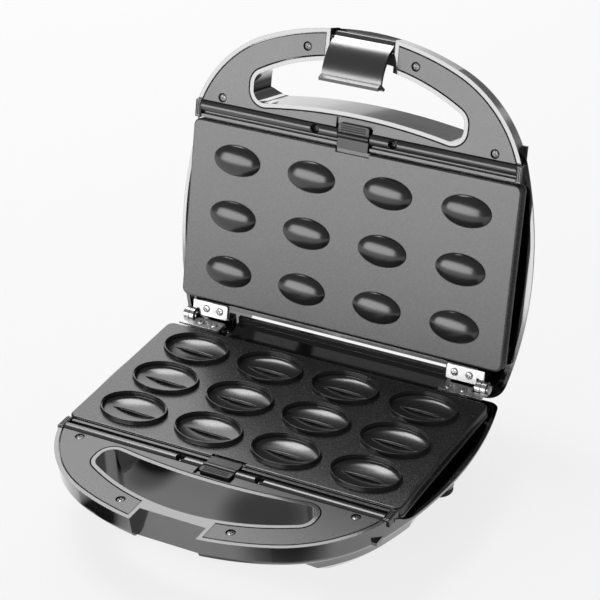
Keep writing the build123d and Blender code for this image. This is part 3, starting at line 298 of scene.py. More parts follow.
@dataclass(frozen=True)
class Finish:
    """A finish on one material, with grain, smudges and wear.

    Colours are linear. Lengths are in metres. Grain and cloud are features per metre.
    """

    name: str
    colour: tuple[float, float, float]
    worn_colour: tuple[float, float, float]
    roughness: float
    roughness_spread: float = 0.05
    grain: float = 2500.0
    grain_height: float = 0.01 * MM
    cloud: float = 25.0
    metallic: float = 0.0
    specular: float = 0.5
    coat: float = 0.0
    coat_roughness: float = 0.1
    coat_ior: float = 1.5
    edge_radius: float = 0.3 * MM
    wear_range: tuple[float, float] = (0.35, 0.75)
    cloud_share: float = 0.6
    fine_share: float = 0.2
    bevel_samples: int = 6

    def start(self) -> tuple[bpy.types.Material, Graph, bpy.types.Node, bpy.types.NodeSocket]:
        """Make the material with its even values set.

        Returns:
            The material, its graph, its shader and the Object coordinates.
        """
        material = bpy.data.materials.new(self.name)
        material.use_nodes = True
        material.node_tree.nodes.clear()
        graph = Graph(material.node_tree)
        shader = graph.node(
            "ShaderNodeBsdfPrincipled",
            {},
            {
                "Metallic": self.metallic,
                "Specular IOR Level": self.specular,
                "Coat Weight": self.coat,
                "Coat Roughness": self.coat_roughness,
                "Coat IOR": self.coat_ior,
            },
        )
        graph.node("ShaderNodeOutputMaterial", {}, {"Surface": shader.outputs[0]})
        where = graph.node("ShaderNodeTexCoord").outputs["Object"]
        return material, graph, shader, where

    def height(self, graph: Graph, where: bpy.types.NodeSocket) -> Value:
        """Height of the surface's grain, from 0 to 1."""
        return graph.noise(where, self.grain, 3.0)

    def mask(self, graph: Graph, where: bpy.types.NodeSocket) -> Value:
        """Where the worn colour shows, from 0 to 1."""
        return graph.noise(where, self.cloud, 4.0).ramp(*self.wear_range)

    def dress(self, graph: Graph, shader: bpy.types.Node, where: bpy.types.NodeSocket) -> None:
        """Link the colour, roughness and bump of the finish.

        Args:
            graph: The material's graph.
            shader: Its shader.
            where: The surface's Object coordinates.
        """
        clouds = self.mask(graph, where)
        fine = graph.noise(where, self.grain * self.fine_share, 2.0)
        link = graph.tree.links.new
        link(graph.blend(clouds, self.colour, self.worn_colour), shader.inputs["Base Color"])
        uneven = clouds * self.cloud_share + fine * (1 - self.cloud_share) - 0.5
        rough = self.roughness + uneven * (2 * self.roughness_spread)
        link(rough.socket, shader.inputs["Roughness"])
        self.raise_grain(graph, shader, self.height(graph, where))

    def raise_grain(self, graph: Graph, shader: bpy.types.Node, height: Value) -> None:
        """Feed a height to the shader's normal.

        Args:
            graph: The material's graph.
            shader: Its shader.
            height: The grain's height, from 0 to 1.
        """
        edges = graph.node("ShaderNodeBevel", {"samples": self.bevel_samples}, {"Radius": self.edge_radius})
        sockets = {"Distance": self.grain_height, "Height": height, "Normal": edges.outputs[0]}
        bump = graph.node("ShaderNodeBump", {}, sockets)
        graph.tree.links.new(bump.outputs[0], shader.inputs["Normal"])

    def build(self) -> bpy.types.Material:
        """Make the finished material.

        Returns:
            The material.
        """
        material, graph, shader, where = self.start()
        self.dress(graph, shader, where)
        return material


@dataclass(frozen=True)
class BrushedFinish(Finish):
    """Bare or plated metal with fine marks along one direction."""

    stretch: tuple[float, float, float] = (1.0, 1.0, 1.0)

    def height(self, graph: Graph, where: bpy.types.NodeSocket) -> Value:
        """Height of the drawn marks, long along the direction with the small stretch."""
        mapped = graph.node("ShaderNodeMapping", {}, {"Vector": where, "Scale": self.stretch})
        return graph.noise(mapped.outputs[0], self.grain, 3.0)


@dataclass(frozen=True)
class NonstickFinish(Finish):
    """Speckled coating of a plate: satin on the flat, smooth and darker on the moulds."""

    frame: HalfFrame = field(default_factory=lambda: HalfFrame(Half.BASE))
    mould_colour: tuple[float, float, float] = (0.02, 0.02, 0.021)
    mould_roughness: float = 0.2
    speck_colour: tuple[float, float, float] = (0.22, 0.22, 0.225)
    pitch: tuple[float, float] = (50.4 * MM, 34.5 * MM)
    middle_y: float = -65.95 * MM
    ellipse: tuple[float, float] = (21.9 * MM, 15.4 * MM)
    edge: float = 0.05
    speck_scale: float = 1500.0
    speck_size: float = 0.28
    speck_cover: float = 0.75
    speck_height: float = 0.6
    fine_scale: float = 900.0
    fine_spread: float = 0.1
    mould_grain: float = 0.2
    worn_range: tuple[float, float] = (0.3, 0.8)

    def moulds(self, graph: Graph, where: bpy.types.NodeSocket) -> Value:
        """1 on the moulds or domes and 0 on the flat between them.

        Args:
            graph: The material's graph.
            where: The surface's Object coordinates.

        Returns:
            The moulds' mask.
        """
        start = self.frame.point(0, self.middle_y / MM, 0)
        across = graph.along(where, start, self.frame.direction(1, 0, 0))
        forward = graph.along(where, start, self.frame.direction(0, 1, 0))
        cell_x = across % self.pitch[0] - self.pitch[0] / 2
        cell_y = (forward + self.pitch[1] / 2) % self.pitch[1] - self.pitch[1] / 2
        u = cell_x / self.ellipse[0]
        v = cell_y / self.ellipse[1]
        return (u * u + v * v).ramp(1.0 + self.edge, 1.0 - self.edge)

    def dress(self, graph: Graph, shader: bpy.types.Node, where: bpy.types.NodeSocket) -> None:
        """Link the flat's speckle and the moulds' smoother coating.

        Args:
            graph: The material's graph.
            shader: Its shader.
            where: The surface's Object coordinates.
        """
        moulds = self.moulds(graph, where)
        flat = 1 - moulds
        fine = graph.noise(where, self.fine_scale, 3.0)
        specks = graph.specks(where, self.speck_scale, self.speck_size) * flat
        clouds = graph.noise(where, self.cloud, 3.0).ramp(*self.worn_range)
        plain = graph.blend(clouds, self.colour, self.worn_colour)
        toned = graph.node(
            "ShaderNodeMix", {"data_type": "RGBA"}, {"Factor": moulds, 6: plain, 7: (*self.mould_colour, 1)}
        )
        speckled = graph.node(
            "ShaderNodeMix",
            {"data_type": "RGBA"},
            {"Factor": specks * self.speck_cover, 6: toned.outputs[2], 7: (*self.speck_colour, 1)},
        )
        graph.tree.links.new(speckled.outputs[2], shader.inputs["Base Color"])
        smoother = moulds * (self.mould_roughness - self.roughness)
        rough = self.roughness + (fine - 0.5) * self.fine_spread + smoother
        graph.tree.links.new(rough.socket, shader.inputs["Roughness"])
        share = flat * (1 - self.mould_grain) + self.mould_grain
        coat = graph.noise(where, self.grain, 2.0) * share + specks * self.speck_height
        self.raise_grain(graph, shader, coat)


@dataclass(frozen=True)
class Sheaf:
    """Every finish of the maker, by the record's material slot."""

    black: tuple[float, float, float] = (0.012, 0.012, 0.0125)

    def all(self) -> dict[str, Finish]:
        """The finishes by slot name."""
        return self.mouldings() | self.plates() | self.metals() | self.rubbers() | self.inner_parts()

    def mouldings(self) -> dict[str, Finish]:
        """Moulded plastic that is seen: housings, latch, deck covers, rails, clips and lamp windows.

        Returns:
            The finishes by slot name.
        """
        gloss = {
            "roughness_spread": 0.03,
            "grain": 700.0,
            "grain_height": 0.004 * MM,
            "specular": 1.0,
            "coat": 1.0,
            "coat_ior": 1.8,
        }
        satin = {"roughness_spread": 0.05, "grain": 1800.0}
        lens = {"roughness": 0.1, "roughness_spread": 0.03, "coat": 0.5}
        return {
            "gloss_housing": Finish(
                "gloss_housing",
                self.black,
                grey(0.016),
                roughness=0.14,
                cloud=14.0,
                coat_roughness=0.06,
                **gloss,
            ),
            "gloss_latch": Finish(
                "gloss_latch",
                self.black,
                grey(0.018),
                roughness=0.26,
                cloud=30.0,
                coat_roughness=0.2,
                **gloss,
            ),
            "satin_deck": Finish(
                "satin_deck",
                grey(0.022),
                grey(0.028),
                roughness=0.29,
                roughness_spread=0.04,
                grain=2600.0,
                grain_height=0.02 * MM,
                cloud=18.0,
                specular=1.0,
            ),
            "rail_plastic": Finish(
                "rail_plastic", grey(0.03), grey(0.04), roughness=0.26, cloud=30.0, specular=1.0, **satin
            ),
            "clip_plastic": Finish(
                "clip_plastic", grey(0.016), grey(0.024), roughness=0.3, cloud=40.0, **satin
            ),
            "red_lens": Finish("red_lens", (0.42, 0.01, 0.008), (0.3, 0.006, 0.005), **lens),
            "green_lens": Finish("green_lens", (0.015, 0.3, 0.04), (0.01, 0.2, 0.03), **lens),
        }

    def plates(self) -> dict[str, Finish]:
        """The coated plates: one coating, dark on the base, with a lighter copy on the lid that is painted
        light.

        Returns:
            The finishes by slot name; the lid's plate has a name of its own.
        """
        plate = {
            "roughness": 0.27,
            "specular": 0.8,
            "grain": 1400.0,
            "grain_height": 0.02 * MM,
            "cloud": 12.0,
        }
        base = NonstickFinish(
            "nonstick_base",
            colour=grey(0.012),
            worn_colour=grey(0.017),
            frame=HalfFrame(Half.BASE),
            **plate,
        )
        # painted light: the base's coating with a lighter colour, for how light falls on the lid's plate
        lid = NonstickFinish(
            "nonstick_lid_painted_lighter",
            colour=grey(0.055),
            worn_colour=grey(0.066),
            frame=HalfFrame(Half.LID),
            ellipse=(16.0 * MM, 9.6 * MM),
            edge=0.12,
            **plate,
        )
        return {"nonstick": base, "nonstick_lid_painted_lighter": lid}

    def metals(self) -> dict[str, Finish]:
        """Zinc-plated and bare metal.

        Returns:
            The finishes by slot name.
        """
        screw = {"roughness_spread": 0.08, "grain": 1600.0, "cloud": 260.0, "metallic": 1.0}
        sheet = {"roughness_spread": 0.1, "grain": 900.0, "metallic": 1.0}
        return {
            "zinc_sheet": BrushedFinish(
                "zinc_sheet",
                grey(0.62),
                grey(0.42),
                roughness=0.32,
                cloud=140.0,
                stretch=(0.8, 0.8, 1.0),
                **sheet,
            ),
            "zinc_pin": BrushedFinish(
                "zinc_pin",
                grey(0.66),
                grey(0.5),
                roughness=0.24,
                roughness_spread=0.06,
                grain=1400.0,
                cloud=200.0,
                metallic=1.0,
                stretch=(0.2, 1, 1),
            ),
            "zinc_screw": Finish("zinc_screw", grey(0.6), grey(0.38), roughness=0.28, **screw),
            "black_screw": Finish("black_screw", grey(0.17), grey(0.26), roughness=0.3, **screw),
            "tray_steel": BrushedFinish(
                "tray_steel", grey(0.42), grey(0.3), roughness=0.4, cloud=40.0, stretch=(0.1, 1, 1), **sheet
            ),
            "heater_tube": Finish(
                "heater_tube",
                grey(0.16),
                grey(0.09, 0.1),
                roughness=0.5,
                roughness_spread=0.1,
                grain=1500.0,
                grain_height=0.02 * MM,
                cloud=60.0,
                metallic=1.0,
            ),
            "spring_wire": Finish(
                "spring_wire",
                grey(0.55),
                grey(0.4),
                roughness=0.3,
                grain_height=0.005 * MM,
                cloud=90.0,
                metallic=1.0,
            ),
        }

    def rubbers(self) -> dict[str, Finish]:
        """Feet, cord bushing and the lead's cover.

        Returns:
            The finishes by slot name.
        """
        soft = {"roughness_spread": 0.08, "grain": 1700.0, "cloud": 60.0, "specular": 0.3}
        return {
            "rubber": Finish(
                "rubber", grey(0.018), grey(0.03), roughness=0.62, grain_height=0.04 * MM, **soft
            ),
            "gland_rubber": Finish(
                "gland_rubber", grey(0.018), grey(0.026), roughness=0.55, grain_height=0.03 * MM, **soft
            ),
            "lead_cover": Finish(
                "lead_cover",
                grey(0.016),
                grey(0.026),
                roughness=0.5,
                roughness_spread=0.08,
                grain=2400.0,
                grain_height=0.02 * MM,
                cloud=80.0,
            ),
        }

    def inner_parts(self) -> dict[str, Finish]:
        """Electrical parts inside the housings.

        Returns:
            The finishes by slot name.
        """
        return {
            "thermostat_body": Finish(
                "thermostat_body", (0.55, 0.5, 0.4), (0.42, 0.37, 0.28), roughness=0.5
            ),
            "fuse_sleeve": Finish(
                "fuse_sleeve",
                (0.66, 0.62, 0.52),
                (0.5, 0.45, 0.36),
                roughness=0.8,
                grain=1800.0,
                grain_height=0.08 * MM,
                cloud=90.0,
            ),
            "terminal_body": Finish(
                "terminal_body", (0.62, 0.6, 0.52), (0.5, 0.47, 0.4), roughness=0.42
            ),
            "wire_cover": Finish("wire_cover", (0.6, 0.56, 0.48), (0.5, 0.45, 0.36), roughness=0.45),
            "board": Finish(
                "board",
                (0.14, 0.07, 0.022),
                (0.1, 0.05, 0.015),
                roughness=0.45,
                grain=1800.0,
                grain_height=0.02 * MM,
                cloud=50.0,
            ),
        }


@dataclass
class Wardrobe:
    """The built materials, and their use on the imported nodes."""

    materials: dict[str, bpy.types.Material] = field(default_factory=dict)

    def build(self) -> None:
        """Make every material."""
        for slot, finish in Sheaf().all().items():
            self.materials[slot] = finish.build()
            log.info("finish %s", slot)

    def dress(self, frame: dict) -> None:
        """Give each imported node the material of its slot.
        """
        slots = {part["node"]: part["material_slot"] for part in frame["record"]["subparts"]}
        # the upper plate takes the lighter copy of the coating, which is painted light
        slots["upper_plate"] = "nonstick_lid_painted_lighter"
        for name, node in frame["nodes"].items():
            node.data.materials.clear()
            node.data.materials.append(self.materials[slots[name]])
            log.info("dressed %s in %s", name, slots[name])


class Tree(Graph):
    """A geometry tree with named inputs, used once and turned into a plain mesh."""

    KINDS = {float: "NodeSocketFloat", int: "NodeSocketInt", Vector: "NodeSocketVector"}

    def __init__(self, name: str, values: dict[str, object], material: bpy.types.Material) -> None:
        """Make a tree.

        Args:
            name: The tree's name.
            values: Its inputs' names and values.
            material: The material that its last node sets.
        """
        super().__init__(bpy.data.node_groups.new(name, "GeometryNodeTree"))
        self.values = values
        face = self.tree.interface
        face.new_socket("Geometry", in_out="INPUT", socket_type="NodeSocketGeometry")
        self.sockets = {
            key: face.new_socket(key, in_out="INPUT", socket_type=self.KINDS[type(value)])
            for key, value in values.items()
        }
        self.stuff = face.new_socket("Material", in_out="INPUT", socket_type="NodeSocketMaterial")
        face.new_socket("Geometry", in_out="OUTPUT", socket_type="NodeSocketGeometry")
        self.source = self.node("NodeGroupInput")
        self.material = material

    def size(self, name: str) -> Value:
        """A named input as a number."""
        return Value(self, self.source.outputs[name])

    def close(self, shape: bpy.types.NodeSocket) -> None:
        """End the tree: realise its copies, set the material and put the result out.

        Args:
            shape: The shape that the tree has made.
        """
        real = self.node("GeometryNodeRealizeInstances", {}, {"Geometry": shape})
        flat = {"Geometry": real.outputs[0], "Shade Smooth": False}
        faceted = self.node("GeometryNodeSetShadeSmooth", {}, flat)
        sockets = {"Geometry": faceted.outputs[0], "Material": self.source.outputs["Material"]}
        dressed = self.node("GeometryNodeSetMaterial", {}, sockets)
        self.node("NodeGroupOutput", {}, {0: dressed.outputs[0]})

    def grow(self, name: str, seeds: list[Vector]) -> bpy.types.Object:
        """Run the tree on a few points and keep the result as a plain mesh.

        Args:
            name: The new piece's name.
            seeds: The points, in the row frame.

        Returns:
            The new object, at the origin.
        """
        points = bpy.data.meshes.new(f"{name}_points")
        points.from_pydata([tuple(p) for p in seeds], [], [])
        carrier = bpy.data.objects.new(f"{name}_carrier", points)
        bpy.context.scene.collection.objects.link(carrier)
        modifier = carrier.modifiers.new("grow", "NODES")
        modifier.node_group = self.tree
        for key, value in self.values.items():
            modifier[self.sockets[key].identifier] = value
        modifier[self.stuff.identifier] = self.material
        shown = carrier.evaluated_get(bpy.context.evaluated_depsgraph_get())
        mesh = bpy.data.meshes.new_from_object(shown)
        piece = bpy.data.objects.new(name, mesh)
        bpy.context.scene.collection.objects.link(piece)
        bpy.data.objects.remove(carrier)
        return piece


@dataclass
class CrossScrews:
    """Cross-head screws of one group on one half.

    Places and sizes are in the half's millimetres. Shares are of the head's radius or height.
    """

    name: str
    half: Half
    places: tuple[tuple[float, float], ...]
    seat: float
    head_radius: float
    head_height: float
    slot: str
    node: str
    seed: int
    recess_width: float = 0.24
    recess_length: float = 1.3
    recess_depth: float = 0.75
    shank_length: float = 3.0
    shank_share: float = 0.985
    sides: int = 40
    rings: int = 24

    def tree(self, material: bpy.types.Material) -> Tree:
        """Tree that stands a domed, recessed head on each point.

        Args:
            material: The screws' material.

        Returns:
            The tree, ready to grow.
        """
        turn = HalfFrame(self.half).place().to_euler()
        values = {
            "Head radius": self.head_radius * MM,
            "Head height": self.head_height * MM,
            "Recess width": self.head_radius * self.recess_width * MM,
            "Recess length": self.head_radius * self.recess_length * MM,
            "Recess depth": self.head_height * self.recess_depth * MM,
            "Shank length": self.shank_length * MM,
            "Stand": Vector(turn),
            "Seed": self.seed,
        }
        tree = Tree(f"{self.name}_tree", values, material)
        crossed = self.cut_cross(tree, self.head_and_shank(tree))
        tree.close(self.stand(tree, crossed))
        return tree

    def head_and_shank(self, tree: Tree) -> bpy.types.NodeSocket:
        """Join a domed head and a shank at the origin.

        Args:
            tree: The screws' tree.

        Returns:
            The joined shape.
        """
        radius, height = tree.size("Head radius"), tree.size("Head height")
        round_part = {"Segments": self.sides, "Rings": self.rings, "Radius": 1.0}
        ball = tree.node("GeometryNodeMeshUVSphere", {}, round_part)
        scale = tree.node("ShaderNodeCombineXYZ", {}, {0: radius, 1: radius, 2: height})
        dome = tree.node(
            "GeometryNodeTransform", {}, {"Geometry": ball.outputs[0], "Scale": scale.outputs[0]}
        )
        drop = tree.node("ShaderNodeCombineXYZ", {}, {2: tree.size("Shank length") * -0.5})
        shank = tree.node(
            "GeometryNodeMeshCylinder",
            {},
            {"Vertices": self.sides, "Radius": radius * self.shank_share, "Depth": tree.size("Shank length")},
        )
        foot = tree.node(
            "GeometryNodeTransform", {}, {"Geometry": shank.outputs[0], "Translation": drop.outputs[0]}
        )
        whole = tree.node("GeometryNodeMeshBoolean", {"operation": "UNION"}, {})
        tree.tree.links.new(dome.outputs[0], whole.inputs[1])
        tree.tree.links.new(foot.outputs[0], whole.inputs[1])
        return whole.outputs[0]

    def cut_cross(self, tree: Tree, cut: bpy.types.NodeSocket) -> bpy.types.NodeSocket:
        """Cut the two bars of the cross into the head.

        Args:
            tree: The screws' tree.
            cut: The joined head and shank.

        Returns:
            The shape with its recess.
        """
        for angle in (0.0, math.pi / 2):
            length, width = tree.size("Recess length"), tree.size("Recess width")
            sockets = {0: length, 1: width, 2: tree.size("Recess depth") * 2}
            size = tree.node("ShaderNodeCombineXYZ", {}, sockets)
            bar = tree.node("GeometryNodeMeshCube", {}, {"Size": size.outputs[0]})
            up = tree.node("ShaderNodeCombineXYZ", {}, {2: tree.size("Head height")})
            placed = tree.node(
                "GeometryNodeTransform",
                {},
                {"Geometry": bar.outputs[0], "Translation": up.outputs[0], "Rotation": (0, 0, angle)},
            )
            cutter = tree.node("GeometryNodeMeshBoolean", {"operation": "DIFFERENCE"}, {0: cut})
            tree.tree.links.new(placed.outputs[0], cutter.inputs[1])
            cut = cutter.outputs[0]
        return cut

    def stand(self, tree: Tree, screw: bpy.types.NodeSocket) -> bpy.types.NodeSocket:
        """Stand a screw on each point, each turned by its own angle.

        Args:
            tree: The screws' tree.
            screw: The finished screw.

        Returns:
            The copies.
        """
        spin = tree.node(
            "FunctionNodeRandomValue", {}, {2: 0.0, 3: math.pi, "Seed": tree.source.outputs["Seed"]}
        )
        about = tree.node("ShaderNodeCombineXYZ", {}, {2: spin.outputs[1]})
        own = tree.node("FunctionNodeEulerToRotation", {}, {0: about.outputs[0]})
        stand = tree.node("FunctionNodeEulerToRotation", {}, {0: tree.source.outputs["Stand"]})
        turned = tree.node(
            "FunctionNodeRotateRotation",
            {"rotation_space": "LOCAL"},
            {0: stand.outputs[0], 1: own.outputs[0]},
        )
        copies = tree.node(
            "GeometryNodeInstanceOnPoints",
            {},
            {"Points": tree.source.outputs["Geometry"], "Instance": screw, "Rotation": turned.outputs[0]},
        )
        return copies.outputs[0]

    def build(self, wardrobe: Wardrobe) -> bpy.types.Object:
        """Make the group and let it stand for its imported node.

        Args:
            wardrobe: The built materials.

        Returns:
            The new object, at the origin.
        """
        frame = HalfFrame(self.half)
        seeds = [frame.point(x, y, self.seat) for x, y in self.places]
        piece = self.tree(wardrobe.materials[self.slot]).grow(self.name, seeds)
        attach(piece, self.half.value)
        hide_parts(self.node)
        log.info("made %s with %d screws", self.name, len(seeds))
        return piece


def mirrored(places: tuple[tuple[float, float], ...]) -> tuple[tuple[float, float], ...]:
    """Each place and its mirror image."""
    return tuple((side * x, y) for x, y in places for side in (-1, 1))


@dataclass
class Fixings:
    """All the visible screws of both halves."""

    deck: tuple[tuple[float, float], ...] = ((89.0, -136.4), (35.0, -176.7))
    rail: tuple[tuple[float, float], ...] = ((25.5, -129.6),)
    hinge: tuple[tuple[float, float], ...] = ((79.2, -5.2), (88.6, -5.2))

    def build(self, wardrobe: Wardrobe) -> None:
        """Make every group.

        Args:
            wardrobe: The built materials.
        """
        for seed, half in enumerate(Half):
            name = half.value
            groups = (
                ("deck", self.deck, -0.95, 2.5, 0.75, "black_screw"),
                ("rail", self.rail, -3.2, 2.6, 1.9, "black_screw"),
                ("hinge", self.hinge, 0.8, 2.4, 0.7, "zinc_screw"),
            )
            for kind, places, seat, radius, height, slot in groups:
                CrossScrews(
                    f"{name}_{kind}_cross_screws",
                    half,
                    mirrored(places),
                    seat,
                    radius,
                    height,
                    slot,
                    f"{name}_{kind}_screws",
                    seed * 10 + len(kind),
                ).build(wardrobe)


@dataclass
class LinkLead:
    """Flexible lead between the halves, beside the right-hand hinge.

    The route's points are y and z in the base's millimetres; the first point has its own x.
    """

    radius: float = 2.2 * MM
    x: float = 86.8
    first: tuple[float, float, float] = (69.3, -16.0, -24.0)
    route: tuple[tuple[float, float], ...] = (
        (-16.0, -24.0),
        (-6.0, -15.4),
        (1.2, -7.2),
        (9.0, -6.3),
        (24.5, -3.0),
    )
    bend_from: tuple[float, float] = (0.0, -9.0)
    bend_to: tuple[float, float] = (11.0, -6.0)
    fineness: int = 16
    roundness: int = 6

    def build(self, wardrobe: Wardrobe) -> bpy.types.Object:
        """Make the lead's tube along its route from the base to the lid.

        Args:
            wardrobe: The built materials.

        Returns:
            The new object, at the origin.
        """
        frame = HalfFrame(Half.BASE)
        curve = bpy.data.curves.new("link_lead_line", "CURVE")
        curve.dimensions = "3D"
        curve.bevel_depth = self.radius
        curve.bevel_resolution = self.roundness
        curve.use_fill_caps = True
        spline = curve.splines.new("NURBS")
        spline.points.add(len(self.route))
        places = [self.first] + [(self.x, y, z) for y, z in self.route]
        for point, place in zip(spline.points, places):
            point.co = (*frame.point(*place), 1.0)
        spline.order_u = 3
        spline.use_endpoint_u = True
        spline.resolution_u = self.fineness
        holder = bpy.data.objects.new("link_lead_holder", curve)
        bpy.context.scene.collection.objects.link(holder)
        shown = holder.evaluated_get(bpy.context.evaluated_depsgraph_get())
        mesh = bpy.data.meshes.new_from_object(shown)
        piece = bpy.data.objects.new("link_lead_sleeve", mesh)
        bpy.context.scene.collection.objects.link(piece)
        bpy.data.objects.remove(holder)
        piece.data.materials.clear()
        piece.data.materials.append(wardrobe.materials["lead_cover"])
        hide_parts("link_lead")
        start, end = frame.point(self.x, *self.bend_from), frame.point(self.x, *self.bend_to)
        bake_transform(piece)
        log.info("made the link lead")
        return piece


@dataclass
class ClipSpring:
    """Spring behind a plate clip, copied as it stands; it does not shorten with the clip."""

    half: Half
    fixed_end: float = -130.95
    travel: float = 2.5 * MM

    def build(self, nodes: dict, wardrobe: Wardrobe) -> bpy.types.Object:
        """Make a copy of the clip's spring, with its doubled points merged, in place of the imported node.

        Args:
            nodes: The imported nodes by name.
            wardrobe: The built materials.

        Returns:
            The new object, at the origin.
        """
        half = self.half.value
        node = f"{half}_clip_spring"
        mesh = nodes[node].data.copy()
        merged = bmesh.new()
        merged.from_mesh(mesh)
        bmesh.ops.remove_doubles(merged, verts=merged.verts, dist=0.001 * MM)
        merged.to_mesh(mesh)
        merged.free()
        piece = bpy.data.objects.new(f"{half}_pressed_spring", mesh)
        bpy.context.scene.collection.objects.link(piece)
        mesh.materials.clear()
        mesh.materials.append(wardrobe.materials["spring_wire"])
        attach(piece, half)
        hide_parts(node)
        frame = HalfFrame(self.half)
        axis = frame.direction(0, -1, 0)
        along = [vertex.co.dot(axis) for vertex in mesh.vertices]
        keep = 1 - self.travel / (max(along) - min(along))
        anchor = frame.point(0, self.fixed_end, 0)
        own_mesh(piece)
        log.info("made %s", piece.name)
        return piece


@dataclass(frozen=True)
class PaintedShadePatch:
    """A soft-edged patch of painted shade on the floor, which only reflections see. Lengths are in metres."""

    x: float
    y: float
    half_width: float
    half_depth: float
    depth: float
    edge: tuple[float, float] = (1.3, 0.2)

    def mask(self, graph: Graph, where: bpy.types.NodeSocket) -> Value:
        """Its painted shade: its depth at its middle and 0 outside.

        Args:
            graph: The floor's graph.
            where: The floor's coordinates.

        Returns:
            The mask.
        """
        start = Vector((self.x, self.y, 0.0))
        u = graph.along(where, start, Vector((1.0, 0.0, 0.0))) / self.half_width
        v = graph.along(where, start, Vector((0.0, 1.0, 0.0))) / self.half_depth
        return (u * u + v * v).ramp(*self.edge) * self.depth


@dataclass(frozen=True)
class Lamp:
    """A soft rectangular light: its place and size in metres and its power in watts."""

    name: str
    place: tuple[float, float, float]
    size: tuple[float, float]
    power: float

    def hang(self, target: Vector) -> None:
        """Hang the lamp so that it faces a point.

        Args:
            target: The point, in the row frame.
        """
        light = bpy.data.lights.new(self.name, "AREA")
        light.shape = "RECTANGLE"
        light.size, light.size_y = self.size
        light.energy = self.power
        holder = bpy.data.objects.new(self.name, light)
        bpy.context.scene.collection.objects.link(holder)
        holder.location = self.place
        holder.rotation_euler = (target - Vector(self.place)).to_track_quat("-Z", "Y").to_euler()


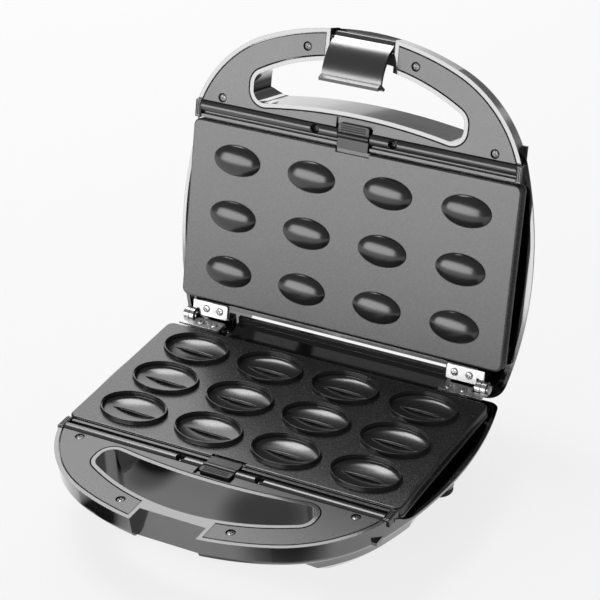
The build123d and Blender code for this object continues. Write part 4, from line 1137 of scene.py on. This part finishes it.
@dataclass
class Studio:
    """Floor, lights and camera."""

    eye: tuple[float, float, float] = (593.72 * MM, -944.7 * MM, 796.59 * MM)
    azimuth: float = math.radians(31.49)
    elevation: float = math.radians(31.61)
    roll: float = math.radians(-3.89)
    lens: float = 140.54
    floor_size: float = 12.0
    sensor: float = 36.0
    middle: tuple[float, float, float] = (0.0, 0.0, 0.1)
    floor_grey: float = 0.86
    floor_shown: float = 0.8  # share of plain white that the camera sees in the floor
    floor_mirrored: float = 0.7  # share of it that reflections see
    sky_strength: float = 0.2
    # patches of painted shade on the floor, which darken what the glossy walls mirror
    painted_shade_patches: tuple[PaintedShadePatch, ...] = (
        PaintedShadePatch(0.1, -0.172, 0.06, 0.055, 0.95),
        PaintedShadePatch(-0.087, -0.141, 0.035, 0.03, 0.6),
        PaintedShadePatch(-0.078, -0.122, 0.022, 0.03, 0.6),
        PaintedShadePatch(0.02, -0.122, 0.035, 0.03, 0.75),
        PaintedShadePatch(0.35, 0.45, 0.35, 0.6, 0.9),
        PaintedShadePatch(1.3, 1.7, 1.3, 1.6, 0.85),
    )
    lamps: tuple[Lamp, ...] = (
        Lamp("back_left", (-1.0, 1.6, 1.15), (2.0, 1.6), 21.0),
        Lamp("front_left", (-1.0, -1.95, 0.45), (2.0, 1.0), 28.0),
        Lamp("top", (-0.75, 0.55, 1.5), (0.6, 0.6), 10.0),
    )

    def backdrop(self) -> None:
        """Make the pale floor, white to the camera but keeping soft shadows, with patches of painted shade
        that only reflections see.
        """
        mesh = bpy.data.meshes.new("floor")
        half = self.floor_size / 2
        mesh.from_pydata(
            [(-half, -half, 0), (half, -half, 0), (half, half, 0), (-half, half, 0)], [], [(0, 1, 2, 3)]
        )
        floor = bpy.data.objects.new("floor", mesh)
        bpy.context.scene.collection.objects.link(floor)
        material = bpy.data.materials.new("floor_white")
        material.use_nodes = True
        material.node_tree.nodes.clear()
        graph = Graph(material.node_tree)
        ray = graph.node("ShaderNodeLightPath")
        where = graph.node("ShaderNodeTexCoord").outputs["Object"]
        glossy = Value(graph, ray.outputs["Is Glossy Ray"])
        share = Value(graph, ray.outputs["Is Camera Ray"]) * self.floor_shown + glossy * self.floor_mirrored
        # painted shade: dark patches of the floor that only glossy rays see
        dark = sum(shade_patch.mask(graph, where) for shade_patch in self.painted_shade_patches).at_most(1.0) * glossy
        lit = graph.node("ShaderNodeBsdfDiffuse", {}, {"Color": (*grey(self.floor_grey), 1)})
        glow = graph.node("ShaderNodeEmission", {}, {"Color": (1, 1, 1, 1), "Strength": 1.0})
        black = graph.node("ShaderNodeEmission", {}, {"Color": (0, 0, 0, 1), "Strength": 0.0})
        pale = graph.node("ShaderNodeMixShader", {}, {0: share, 1: lit.outputs[0], 2: glow.outputs[0]})
        shown = graph.node("ShaderNodeMixShader", {}, {0: dark, 1: pale.outputs[0], 2: black.outputs[0]})
        graph.node("ShaderNodeOutputMaterial", {}, {"Surface": shown.outputs[0]})
        mesh.materials.append(material)

    def sky(self) -> None:
        """Make the world: white to the camera, softer on the object."""
        world = bpy.data.worlds.new("studio")
        world.use_nodes = True
        world.node_tree.nodes.clear()
        graph = Graph(world.node_tree)
        camera_ray = graph.node("ShaderNodeLightPath").outputs["Is Camera Ray"]
        soft = {"Color": (1, 1, 1, 1), "Strength": self.sky_strength}
        plain = graph.node("ShaderNodeBackground", {}, soft)
        white = graph.node("ShaderNodeBackground", {}, {"Color": (1, 1, 1, 1), "Strength": 1.0})
        shown = graph.node(
            "ShaderNodeMixShader", {}, {0: camera_ray, 1: plain.outputs[0], 2: white.outputs[0]}
        )
        graph.node("ShaderNodeOutputWorld", {}, {"Surface": shown.outputs[0]})
        bpy.context.scene.world = world

    def camera(self) -> None:
        """Make the camera at the photograph's angle."""
        turn, fall, roll = self.azimuth, self.elevation, self.roll
        level = math.cos(fall)
        forward = Vector((-math.sin(turn) * level, math.cos(turn) * level, -math.sin(fall)))
        right = forward.cross(Vector((0, 0, 1))).normalized()
        up = right.cross(forward)
        tilted = math.cos(roll) * right + math.sin(roll) * up
        above = -math.sin(roll) * right + math.cos(roll) * up
        data = bpy.data.cameras.new("camera")
        data.lens = self.lens
        data.sensor_width = self.sensor
        camera = bpy.data.objects.new("camera", data)
        bpy.context.scene.collection.objects.link(camera)
        axes = Matrix((tilted, above, -forward)).transposed()
        camera.matrix_world = Matrix.Translation(self.eye) @ axes.to_4x4()
        bpy.context.scene.camera = camera

    def build(self) -> None:
        """Set the whole stage."""
        self.backdrop()
        self.sky()
        for lamp in self.lamps:
            lamp.hang(Vector(self.middle))
        self.camera()
        bpy.context.scene.view_settings.view_transform = "Standard"
        log.info("stage, lights and camera are set")


def main() -> None:
    """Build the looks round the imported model."""
    logging.basicConfig(level=logging.INFO, format="%(name)s: %(message)s")
    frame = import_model()
    wardrobe = Wardrobe()
    wardrobe.build()
    wardrobe.dress(frame)
    Fixings().build(wardrobe)
    LinkLead().build(wardrobe)
    for half in Half:
        ClipSpring(half).build(frame["nodes"], wardrobe)
    Studio().build()


if __name__ == "__main__":
    main()
